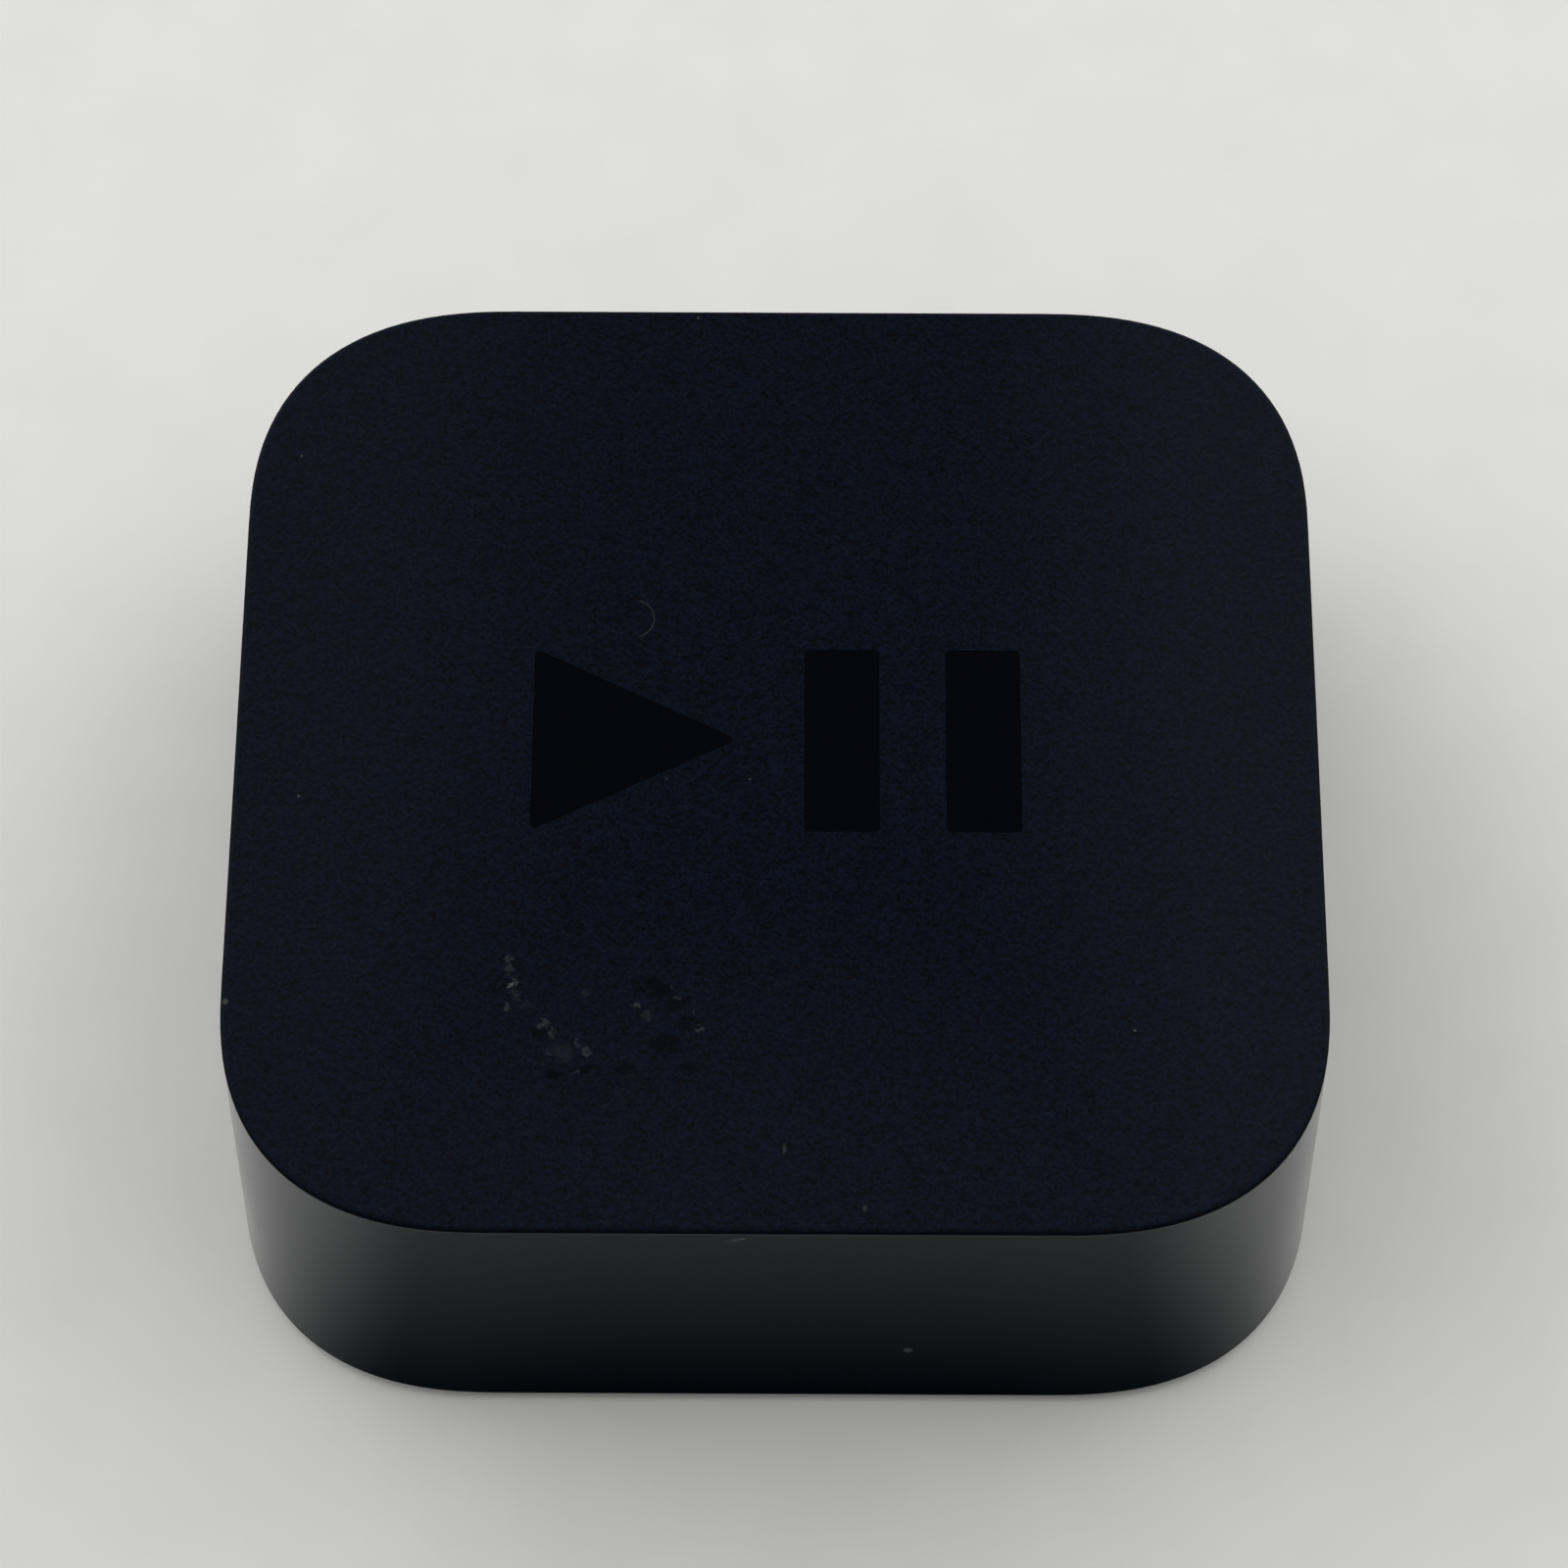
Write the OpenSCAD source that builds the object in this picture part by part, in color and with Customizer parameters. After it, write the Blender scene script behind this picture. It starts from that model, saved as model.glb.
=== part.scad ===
// Streaming media player: a flat squarish set-top box with its boards, heat sink and rear sockets.
// Origin at the middle of the face it stands on, +Z up, front towards -Y, rear sockets on +Y.

/* [Casing] */
// Width and depth of the casing
body_w = 98; // [96:0.5:104]
// Height over everything, from the table to the top face
body_h = 33; // [32:0.5:36]
// Reach of each rounded corner along the side
corner_r = 24.4; // [22:0.2:26]
// Exponent of the corner curve: 2 is a circle, more is squarer
corner_power = 2.48; // [2:0.02:3]
// Thickness of the side walls
wall_t = 2; // [1.8:0.1:2.2]
// Thickness of the top
top_t = 2.2; // [1.8:0.1:2.4]
// Radius of the top edge
edge_r = 0.5; // [0.3:0.1:0.8]
// Depth of the polished mark below the textured top
mark_depth = 0.06; // [0.04:0.01:0.1]

/* [Base] */
// Gap between the table and the casing's lower edge
foot_h = 1.3; // [1:0.1:1.5]
// How far the standing pad lies inside the casing's outline
pad_inset = 3; // [2.6:0.1:4]
// Gap of the seam around the base cover
seam_gap = 0.3; // [0.2:0.05:0.4]

/* [Sockets] */
// Height of the sockets' common middle line
port_z = 13.2; // [13:0.1:13.4]
// Middle of the power inlet
inlet_x = 24.8; // [24.6:0.1:25]
// Middle of the video socket
video_x = 5.5; // [5:0.1:5.8]
// Middle of the service socket
service_x = -8.8; // [-9.2:0.1:-8.4]
// Middle of the network jack
network_x = -25; // [-25.2:0.1:-24.8]
// Radius of the power inlet's pins
pin_r = 1.18; // [1.1:0.01:1.2]
// Distance between the power inlet's pins
pin_pitch = 8.6; // [8.5:0.05:8.7]

/* [Boards] */
// Underside of the main board
board_z = 9; // [8.9:0.05:9.1]
// Thickness of the main board
board_t = 1.2; // [1:0.1:1.2]
// Underside of the power board
power_z = 18.4; // [18.3:0.05:18.5]
// Thickness of the power board
power_t = 1.6; // [1.4:0.1:1.6]

/* [Hidden] */

corner_steps = 16;
gap = 0.1;                              // air between pieces that sit close together

// Plastics, metals and board colours
body_black = [0.03, 0.035, 0.05];
part_black = [0.06, 0.06, 0.065];
board_green = [0.02, 0.16, 0.11];
board_tan = [0.62, 0.5, 0.3];
metal = [0.72, 0.73, 0.75];
gold = [0.86, 0.66, 0.28];

// Heights inside, from the table up
pad_z = 1.6;                            // top of the standing pad
flange_z = 3;                           // top of the base cover's plate
rim_z = 5.5;                            // top of the base cover's rim
sink_z = 3.9;                           // underside of the heat sink
sink_top = 6.4;
pedestal_z = 7.5;
board_top = board_z + board_t;
tray_z = 15.4;
tray_t = 0.4;
power_top = power_z + power_t;
ceiling_z = body_h - top_t;

// Plan of the casing's inside
inner_w = body_w - 2 * wall_t;
socket_back = 28.4;                     // back of the network jack and the power inlet
socket_front = 44.4;                    // where their bodies end and their noses begin
face_y = body_w / 2 - 0.7;              // front of the three signal sockets, just inside the rear wall's face
inlet_face_y = body_w / 2 - 1.2;        // the power inlet lies deeper, because the wall curves away there
sink_holes = [[38, -24], [-38, -24], [-40, 16], [40, 14]];
power_holes = [[30, -34], [-30, -34], [-30, 22], [30, 22]];
post_places = [[-27, 2], [-27, 12]];

// Fasteners
sink_screw_r = 1.2;
screw_clear = 0.05;
head_r = 2.2;
head_h = 1.5;
boss_r = 3.2;
power_boss_r = 2.8;

// Status light and remote receiver behind the front wall
light_x = 12;
light_z = 10.4;
light_r = 0.45;
front_board_x = [-3, 17];
front_board_y = -44.6;
front_board_z = [6.9, 15];
front_board_t = 0.8;

// ---------- shared shapes ----------

// One quarter of the corner curve turned q quarter turns: |x|^p + |y|^p = r^p about the corner's centre
function corner(w, r, q) = [
    for (i = [0 : corner_steps])
        let (
            t = 90 * i / corner_steps,
            x = w / 2 - r + r * pow(cos(t), 2 / corner_power),
            y = w / 2 - r + r * pow(sin(t), 2 / corner_power)
        )
        q == 0 ? [x, y] : q == 1 ? [-y, x] : q == 2 ? [-x, -y] : [y, -x]
];

// The whole outline of width w whose corners reach r along each side
function outline(w, r) = [for (q = [0 : 3]) each corner(w, r, q)];

// The outline taken in by d all round
function inset_w(d) = body_w - 2 * d;
function inset_r(d) = corner_r - d;

module slab(d, z) {
    translate([0, 0, z[0]])
        linear_extrude(z[1] - z[0])
            polygon(outline(inset_w(d), inset_r(d)));
}

// A closed solid through outlines stacked in z: each ring is [height, inset]
module lofted(rings) {
    loops = [for (s = rings) [for (p = outline(inset_w(s[1]), inset_r(s[1]))) [p[0], p[1], s[0]]]];
    n = len(loops[0]);
    points = [for (l = loops) each l];
    sides = [
        for (k = [0 : len(rings) - 2]) for (i = [0 : n - 1])
            let (j = (i + 1) % n)
            [k * n + i, (k + 1) * n + i, (k + 1) * n + j, k * n + j]
    ];
    top = (len(rings) - 1) * n;
    polyhedron(
        points,
        concat([[for (i = [0 : n - 1]) i]], [[for (i = [n - 1 : -1 : 0]) top + i]], sides)
    );
}

module block(x, y, z) {
    translate([x[0], y[0], z[0]])
        cube([x[1] - x[0], y[1] - y[0], z[1] - z[0]]);
}

// A block given by its middle in plan, its size and its lower face
module chip(middle, size, z) {
    translate([middle[0] - size[0] / 2, middle[1] - size[1] / 2, z])
        cube(size);
}

module post(at, r, z) {
    translate([at[0], at[1], z[0]])
        cylinder(r = r, h = z[1] - z[0], $fn = 48);
}

// A round bar along Y
module bar_y(x, z, r, y) {
    translate([x, y[0], z])
        rotate([-90, 0, 0])
            cylinder(r = r, h = y[1] - y[0], $fn = 48);
}

// A slot shape with round ends along X, w wide and h high, seen from behind and run along Y
module stadium_y(x, z, w, h, y) {
    block([x - (w - h) / 2, x + (w - h) / 2], y, [z - h / 2, z + h / 2]);
    for (side = [-1, 1])
        bar_y(x + side * (w - h) / 2, z, h / 2, y);
}

// A machine screw standing on its head: the head's six-sided socket opens downwards
module screw_up(at, z, length, r, head_r = head_r, head_h = head_h) {
    difference() {
        union() {
            post(at, head_r, [z, z + head_h]);
            post(at, r, [z + head_h, z + head_h + length]);
        }
        translate([at[0], at[1], z - 1])
            cylinder(r = head_r * 0.45, h = 1.8, $fn = 6);
    }
}

// The same screw turned over, its head's underside at z
module screw_down(at, z, length, r) {
    translate([at[0], at[1], z])
        mirror([0, 0, 1])
            translate([0, 0, -head_h])
                screw_up([0, 0], 0, length, r);
}

// A profile drawn in Y and Z, run along X
module run_x(x, points) {
    translate([x[0], 0, 0])
        rotate([90, 0, 90])
            linear_extrude(x[1] - x[0])
                polygon(points);
}

// Unit vector, and the rings of a round cable of radius r along a path of points
function unit(v) = v / norm(v);
function ring_at(path, i, r, sides) =
    let (
        last = len(path) - 1,
        along = unit(path[min(i + 1, last)] - path[max(i - 1, 0)]),
        side = unit(cross(along, abs(along[2]) > 0.9 ? [1, 0, 0] : [0, 0, 1])),
        up = cross(side, along)
    )
    [for (k = [0 : sides - 1]) path[i] + r * (cos(360 * k / sides) * side + sin(360 * k / sides) * up)];

// The path with each of its corners cut once
function eased(path) = [
    path[0],
    for (i = [0 : len(path) - 2]) each [path[i] * 0.75 + path[i + 1] * 0.25, path[i] * 0.25 + path[i + 1] * 0.75],
    path[len(path) - 1]
];

module cable(route, r, sides = 8) {
    path = eased(eased(route));
    last = len(path) - 1;
    points = [for (i = [0 : last]) each ring_at(path, i, r, sides)];
    skin = [
        for (i = [0 : last - 1]) for (k = [0 : sides - 1])
            let (n = (k + 1) % sides)
            [i * sides + k, i * sides + n, (i + 1) * sides + n, (i + 1) * sides + k]
    ];
    polyhedron(
        points,
        concat([[for (k = [sides - 1 : -1 : 0]) k]], [[for (k = [0 : sides - 1]) last * sides + k]], skin)
    );
}

// ---------- casing and base ----------

mark_at = [0, 1.2];
mark_h = 19.4;
mark_triangle_w = 18.6;
mark_bar_w = 6.8;
mark_space = 6;

// Play triangle and two pause bars, as on any remote control
module mark_2d() {
    whole_w = mark_triangle_w + 2 * (mark_space + mark_bar_w);
    translate([mark_at[0] - whole_w / 2, mark_at[1] - mark_h / 2]) {
        polygon([[0, 0], [mark_triangle_w, mark_h / 2], [0, mark_h]]);
        for (i = [0, 1])
            translate([mark_triangle_w + mark_space + i * (mark_bar_w + mark_space), 0])
                square([mark_bar_w, mark_h]);
    }
}

mouth_inset = 1.2;                      // wall left outside the base cover's flange
mouth_z = flange_z + gap;
boss_ribs_t = 1.2;

module casing_skin() {
    slab(0, [foot_h + 0.25, body_h - edge_r]);
    lofted([[foot_h, 0.25], [foot_h + 0.25, 0]]);
    lofted([
        for (a = [0, 30, 60, 90])
            [body_h - edge_r + edge_r * sin(a), edge_r * (1 - cos(a))]
    ]);
}

// Rails on the front wall that the front board slides into
module front_rails() {
    for (x = [front_board_x[0] - 1, front_board_x[1] + 1])
        block([x - 1, x + 1], [-inner_w / 2 - 0.5, -43], [7, 16.5]);
}

module casing_bosses() {
    for (p = sink_holes) {
        post(p, boss_r, [board_top, ceiling_z + 0.5]);
        block(
            p[0] > 0 ? [p[0], inner_w / 2 + 0.5] : [-inner_w / 2 - 0.5, p[0]],
            [p[1] - boss_ribs_t / 2, p[1] + boss_ribs_t / 2],
            [28, ceiling_z + 0.5]
        );
    }
    for (p = power_holes)
        post(p, power_boss_r, [power_top, ceiling_z + 0.5]);
}

clip_places = [-16, 16];
clip_w = 7;

// Pockets that the base cover's clips spring into
module clip_pockets() {
    for (turn = [0 : 90 : 270], s = clip_places)
        rotate([0, 0, turn])
            block([s - clip_w / 2 - 0.4, s + clip_w / 2 + 0.4],
                [inner_w / 2 - 1, inner_w / 2 + 0.4], [rim_z - 1.6, rim_z - 0.3]);
}

module socket_cuts() {
    y = [body_w / 2 - 8, body_w / 2 + 1];
    stadium_y(inlet_x, port_z, 18.6, 9.8, y);
    block([video_x - 7.8, video_x + 7.8], y, [board_top - 0.1, board_top + 6.2]);
    stadium_y(service_x, board_top + 1.6, 9.5, 3.7, y);
    block([network_x - 6.8, network_x + 6.8], y, [port_z - 5.2, port_z + 5.2]);
}

module top_casing() {
    color(body_black)
        difference() {
            union() {
                difference() {
                    casing_skin();
                    slab(wall_t, [foot_h - 1, ceiling_z]);
                }
                casing_bosses();
                front_rails();
            }
            block([front_board_x[0] - gap, front_board_x[1] + gap],
                [front_board_y - gap, front_board_y + front_board_t + gap], [6, front_board_z[1] + gap]);
            slab(mouth_inset, [foot_h - 1, mouth_z]);
            clip_pockets();
            socket_cuts();
            bar_y(light_x, light_z, light_r + 0.02, [-body_w / 2 - 1, -inner_w / 2 + 1]);
            translate([0, 0, body_h - mark_depth])
                linear_extrude(1)
                    mark_2d();
            for (p = sink_holes)
                post(p, sink_screw_r + screw_clear, [board_top - 1, board_top + 9]);
            for (p = power_holes)
                post(p, 1 + screw_clear, [power_top - 1, power_top + 6]);
        }
}

rim_inset = 2.5;
rim_t = 1.2;

module base_cover() {
    pad_edge = 0.8;
    color(part_black) {
        lofted([
            for (a = [0, 30, 60, 90])
                [pad_edge * (1 - cos(a)), pad_inset + pad_edge * (1 - sin(a))]
        ]);
        slab(pad_inset, [pad_edge, pad_z]);
        slab(mouth_inset + seam_gap, [pad_z, flange_z]);
        difference() {
            slab(rim_inset, [flange_z, rim_z]);
            slab(rim_inset + rim_t, [flange_z - 1, rim_z + 1]);
        }
        // clips; their noses stop short of the wall, since rigid ones could not spring past it
        for (turn = [0 : 90 : 270], s = clip_places)
            rotate([0, 0, turn])
                run_x([s - clip_w / 2, s + clip_w / 2], [
                    [inset_w(rim_inset) / 2 - 0.3, rim_z - 1.5], [inset_w(rim_inset) / 2 + 0.35, rim_z - 1.3],
                    [inset_w(rim_inset) / 2 + 0.35, rim_z - 0.9], [inset_w(rim_inset) / 2, rim_z],
                    [inset_w(rim_inset) / 2 - 0.3, rim_z]
                ]);
        // low stiffening ribs
        for (s = [-30 : 15 : 30]) {
            block([s - 0.5, s + 0.5], [-44.8, 44.8], [flange_z, flange_z + 0.5]);
            block([-44.8, 44.8], [s - 0.5, s + 0.5], [flange_z, flange_z + 0.5]);
        }
    }
}

module status_light_pipe() {
    color([0.9, 0.92, 0.95]) {
        bar_y(light_x, light_z, light_r, [-body_w / 2 + 0.02, -inner_w / 2 + 0.1]);
        bar_y(light_x, light_z, 1.3, [-inner_w / 2 + 0.1, -inner_w / 2 + 1.6]);
    }
}

// ---------- main board ----------

soc_at = [-2, -4];
flash_at = [24, -10];

module heat_sink() {
    color(metal)
        difference() {
            union() {
                slab(5, [sink_z, sink_top]);
                chip(soc_at, [17, 16, pedestal_z - sink_top + 0.5], sink_top - 0.5);
                chip(flash_at, [14, 12, pedestal_z - sink_top + 0.5], sink_top - 0.5);
                for (p = sink_holes)
                    post(p, 3.6, [sink_top - 0.5, board_z]);
            }
            for (p = sink_holes) {
                post(p, sink_screw_r + 0.4, [sink_z - 1, board_z + 1]);
                post(p, head_r + 0.3, [sink_z - 1, sink_z + head_h + 0.3]);
            }
            // grooves between the shallow fins
            for (x = [-30 : 3 : 30])
                block([x - 0.7, x + 0.7], [-30, 26], [sink_z - 1, sink_z + 1.3]);
        }
}

module heat_sink_screws() {
    color(metal)
        for (p = sink_holes)
            screw_up(p, sink_z + 0.3, board_top + 7 - sink_z - 0.3 - head_h, sink_screw_r);
}

module main_board() {
    color(board_green)
        difference() {
            slab(4, [board_z, board_top]);
            block([inlet_x - 11, body_w], [25.5, body_w], [board_z - 1, board_top + 1]);
            block([network_x - 9, network_x + 9], [27.6, body_w], [board_z - 1, board_top + 1]);
            block([front_board_x[0] - 3, front_board_x[1] + 3], [-body_w, -42.6], [board_z - 1, board_top + 1]);
            for (p = sink_holes)
                post(p, sink_screw_r + 0.4, [board_z - 1, board_top + 1]);
            for (p = post_places)
                post(p, sink_screw_r + 0.3, [board_z - 1, board_top + 1]);
        }
}

module processor() {
    color(part_black)
        chip(soc_at, [15, 14, 1.1], board_z - 1.1);
}

module processor_thermal_pad() {
    color([0.55, 0.6, 0.7])
        chip(soc_at, [14.4, 13.4, board_z - 1.1 - pedestal_z], pedestal_z);
}

module flash_memory() {
    color(part_black)
        chip(flash_at, [12, 10, 1], board_z - 1);
}

module flash_thermal_pad() {
    color([0.55, 0.6, 0.7])
        chip(flash_at, [11.4, 9.4, board_z - 1 - pedestal_z], pedestal_z);
}

module shield_fence() {
    color(metal)
        difference() {
            chip([-2, -4], [34, 30, 2.1], board_z - 2.1);
            chip([-2, -4], [33.4, 29.4, 4], board_z - 3);
            for (x = [-10, 6])
                chip([x, -4], [4, 40, 1], board_z - 2.2);
        }
}

module control_chips() {
    color(part_black) {
        for (c = [[-14, -12, 5, 5], [-14, 4, 4, 6], [10, -12, 5, 5], [9, 5, 6, 4]])
            chip([c[0], c[1]], [c[2], c[3], 0.9], board_z - 0.9);
        for (c = [[4, -30, 6, 6], [-6, -24, 4, 4], [2, 30, 6, 5]])
            chip([c[0], c[1]], [c[2], c[3], 1], board_top);
    }
}

module power_coils() {
    color([0.3, 0.3, 0.31])
        for (x = [14, 21, 28], y = [-31, -23])
            chip([x, y], [5, 5, 2.4], board_top);
}

module network_transformer() {
    color(part_black)
        chip([network_x, 22], [13, 9, 3.8], board_top);
}

module wireless_module() {
    color(metal)
        chip([-24, -29], [16, 12, 2], board_top);
}

plug_places = [[-28, -31], [-20, -31]];

module antenna_plugs() {
    color(gold)
        for (p = plug_places)
            difference() {
                post(p, 1.1, [board_top + 2, board_top + 3]);
                post(p, 0.5, [board_top + 2.6, board_top + 4]);
            }
}

// A plastic carrier on the side wall with the antenna's foil on its inner face
module antenna(side) {
    x = [inner_w / 2 - 2.1, inner_w / 2 - gap];
    color(part_black)
        block(side > 0 ? x : [-x[1], -x[0]], [-12, 8], [17, 27]);
    color(gold)
        for (z = [18 : 3 : 24])
            block(side > 0 ? [x[0] - 0.15, x[0]] : [-x[0], -x[0] + 0.15], [-11, 7], [z, z + 2]);
}

cable_r = 0.55;
plug_z = board_top + 2.6;

module antenna_cable_left() {
    color([0.1, 0.1, 0.1])
        cable([
            [-44.1, -6, 24.4], [-43.5, -6, 21], [-43.4, -7, 18], [-43.4, -10, 15], [-43.3, -15, 13.2],
            [-43.2, -20, 13], [-43.2, -26, 12.9], [-42, -31, plug_z], [-38.5, -34.5, plug_z],
            [-34, -35, plug_z], [-31, -33.4, plug_z], [-28.8, -31.8, plug_z]
        ], cable_r);
}

module antenna_cable_right() {
    color([0.1, 0.1, 0.1])
        cable([
            [44.1, -6, 24.4], [43.5, -6, 21], [43.4, -7, 18], [43.4, -10, 15], [43.3, -16, 13.4],
            [43.2, -24, 13], [41.6, -31, 13], [37, -35, 13], [30, -37, 13], [20, -37.6, 13], [8, -36.8, 13],
            [-4, -36.2, 13], [-12, -35.4, plug_z], [-17, -34, plug_z], [-19.2, -32, plug_z]
        ], cable_r);
}

// ---------- rear sockets ----------

video_z = [board_top, board_top + 5.9];
video_w = 15;
sheet_t = 0.35;

// The video socket's outline, whose lower corners are cut off, grown or shrunk by d
function video_outline(d) =
    let (w = video_w / 2 - d, low = video_z[0] + d, high = video_z[1] - d)
    [[-w, low + 2], [-w, high], [w, high], [w, low + 2], [w - 1.4, low], [-w + 1.4, low]];

module run_y(y, points) {
    translate([0, y[1], 0])
        rotate([90, 0, 0])
            linear_extrude(y[1] - y[0])
                polygon(points);
}

module video_socket_shell() {
    color(metal)
        translate([video_x, 0, 0])
            difference() {
                run_y([36.5, face_y], video_outline(0));
                run_y([36.5 - 1, face_y + 1], video_outline(sheet_t));
                for (side = [-1, 1])
                    block([side * 3.6 - 0.9, side * 3.6 + 0.9], [40, 45], [video_z[1] - 1, video_z[1] + 1]);
            }
}

tongue_z = video_z[0] + 3.1;

module video_socket_tongue() {
    color(part_black)
        translate([video_x, 0, 0]) {
            run_y([36.6, 38.2], video_outline(sheet_t + 0.02));
            block([-6.2, 6.2], [38, 46.9], [tongue_z - 0.5, tongue_z + 0.5]);
        }
}

module video_socket_contacts() {
    color(gold)
        translate([video_x, 0, 0]) {
            for (i = [-5 : 4])
                block([i + 0.33, i + 0.67], [38.4, 46.5], [tongue_z + 0.5, tongue_z + 0.6]);
            for (i = [-4 : 4])
                block([i - 0.17, i + 0.17], [38.4, 46.5], [tongue_z - 0.6, tongue_z - 0.5]);
        }
}

service_z = board_top + 1.6;

module service_socket_shell() {
    color(metal)
        difference() {
            stadium_y(service_x, service_z, 8.94, 3.16, [38.5, face_y]);
            stadium_y(service_x, service_z, 8.34, 2.56, [37.5, face_y + 1]);
        }
}

module service_socket_tongue() {
    color(part_black) {
        stadium_y(service_x, service_z, 8.3, 2.52, [38.6, 40.4]);
        block([service_x - 3.35, service_x + 3.35], [40.2, 47], [service_z - 0.35, service_z + 0.35]);
    }
}

module service_socket_contacts() {
    color(gold)
        for (i = [0 : 11], side = [-1, 1])
            block(
                [service_x - 2.875 + 0.5 * i, service_x - 2.625 + 0.5 * i], [40.6, 46.6],
                side > 0 ? [service_z + 0.35, service_z + 0.43] : [service_z - 0.43, service_z - 0.35]
            );
}

jack_z = [port_z - 6.5, port_z + 6.5];
jack_hole = [port_z - 2.4, port_z + 4.4];
jack_depth = 13;

module network_jack() {
    color(part_black)
        difference() {
            union() {
                block([network_x - 8.1, network_x + 8.1], [socket_back, socket_front], jack_z);
                block([network_x - 6.6, network_x + 6.6], [socket_front, face_y], [port_z - 5, port_z + 5]);
            }
            block([network_x - 5.95, network_x + 5.95], [face_y - jack_depth, body_w], jack_hole);
            block([network_x - 3.1, network_x + 3.1], [face_y - 9, body_w], [jack_hole[0] - 1.3, jack_hole[0] + 1]);
            block([network_x - 1.7, network_x + 1.7], [face_y - 9, body_w], [jack_hole[0] - 2, jack_hole[0] + 1]);
        }
}

module network_jack_shield() {
    out_x = 8.1 + 0.02;
    color(metal)
        difference() {
            block([network_x - out_x - 0.25, network_x + out_x + 0.25],
                [socket_back - 0.27, socket_front - 0.6], [jack_z[0], jack_z[1] + 0.27]);
            block([network_x - out_x, network_x + out_x],
                [socket_back - 0.02, socket_front + 1], [jack_z[0] - 1, jack_z[1] + 0.02]);
        }
}

module network_jack_contacts() {
    back = face_y - jack_depth;
    color(gold)
        for (i = [0 : 7])
            run_x([network_x - 3.73 + 1.02 * i, network_x - 3.41 + 1.02 * i], [
                [back, port_z - 0.9], [back + 1, port_z - 0.9], [back + 9.6, port_z + 3.4],
                [back + 10.6, port_z + 3.9], [back + 10.6, port_z + 4.3], [back + 9.3, port_z + 3.7],
                [back + 0.8, port_z - 0.5], [back, port_z - 0.5]
            ]);
}

inlet_h = 9.6;
inlet_hole_back = 34.4;
pin_end_y = 44.6;
pin_root_r = 1;                         // the part of each pin held in the inlet's body

module power_inlet() {
    color(part_black)
        difference() {
            union() {
                block([inlet_x - 10, inlet_x + 10], [socket_back, socket_front],
                    [port_z - inlet_h / 2, port_z + inlet_h / 2]);
                stadium_y(inlet_x, port_z, 18.2, 9.4, [socket_front - 1, inlet_face_y]);
            }
            // figure-of-eight recess round the two pins
            for (side = [-1, 1]) {
                bar_y(inlet_x + side * pin_pitch / 2, port_z, 3.9, [inlet_hole_back, body_w]);
                bar_y(inlet_x + side * pin_pitch / 2, port_z, pin_root_r + 0.02, [socket_back - 1, body_w]);
            }
            block([inlet_x - pin_pitch / 2, inlet_x + pin_pitch / 2], [inlet_hole_back, body_w],
                [port_z - 2.8, port_z + 2.8]);
        }
}

module power_inlet_pins() {
    color(metal)
        for (side = [-1, 1]) {
            x = inlet_x + side * pin_pitch / 2;
            bar_y(x, port_z, pin_r, [inlet_hole_back, pin_end_y]);
            bar_y(x, port_z, pin_root_r, [socket_back - 0.8, inlet_hole_back + 0.5]);
            block([x - 0.8, x + 0.8], [socket_back - 1.6, socket_back - 0.8], [port_z - 1, power_top + 0.8]);
        }
}

// ---------- front wall electronics ----------

module front_board() {
    color(board_green)
        block(front_board_x, [front_board_y, front_board_y + front_board_t], front_board_z);
}

module remote_receiver() {
    color([0.12, 0.08, 0.1]) {
        block([1, 7], [front_board_y - 1.4, front_board_y], [8, 13]);
        bar_y(4, 10.6, 1.7, [front_board_y - 2, front_board_y - 1.4]);
    }
}

module status_led() {
    color([0.95, 0.93, 0.8])
        block([light_x - 0.8, light_x + 0.8], [front_board_y - 0.6, front_board_y], [light_z - 0.4, light_z + 0.4]);
}

ribbon_t = 0.2;

module front_ribbon() {
    back = front_board_y + front_board_t;
    color([0.75, 0.5, 0.15])
        run_x([3.5, 9.5], [
            [back, 12.6], [back + 0.9, 12.6], [back + 1.5, 10.9], [-41.4, 10.9], [-41.4, 10.9 + ribbon_t],
            [back + 1.65, 10.9 + ribbon_t], [back + 1.05, 12.6 + ribbon_t], [back, 12.6 + ribbon_t]
        ]);
}

module ribbon_connector() {
    color([0.85, 0.83, 0.78])
        block([2.5, 10.5], [-41.4, -38.4], [board_top, board_top + 1.5]);
}

// ---------- power board ----------

module power_posts() {
    color(gold)
        for (p = post_places)
            difference() {
                post(p, 2.5, [board_top, power_z]);
                post(p, sink_screw_r + screw_clear, [board_top - 1, power_z + 1]);
            }
}

module power_post_screws() {
    color(metal)
        for (p = post_places) {
            screw_up(p, board_z - head_h, 4.6, sink_screw_r, 2.1);
            screw_down(p, power_top, 4.2, sink_screw_r);
        }
}

module insulator_tray() {
    color([0.2, 0.2, 0.2])
        difference() {
            union() {
                block([-34, 34], [-38.4, 25.4], [tray_z, tray_z + tray_t]);
                block([-34, 34], [-38.4, -38], [tray_z, power_z - 0.2]);
            }
            for (p = post_places)
                post(p, 3, [tray_z - 1, power_z]);
        }
}

module power_board() {
    color(board_tan)
        difference() {
            union() {
                block([-34, 34], [-38, 27], [power_z, power_top]);
                block([inlet_x - 11, inlet_x + 10], [26, 42.5], [power_z, power_top]);
            }
            for (p = power_holes)
                post(p, 1.3, [power_z - 1, power_top + 1]);
            for (p = post_places)
                post(p, sink_screw_r + 0.2, [power_z - 1, power_top + 1]);
            for (side = [-1, 1])
                chip([inlet_x + side * pin_pitch / 2, socket_back - 1.2], [2, 1.2, 4], power_z - 1);
        }
}

module power_board_screws() {
    color(metal)
        for (p = power_holes)
            screw_up(p, power_z - head_h, power_t + 5, 1, 2);
}

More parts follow.
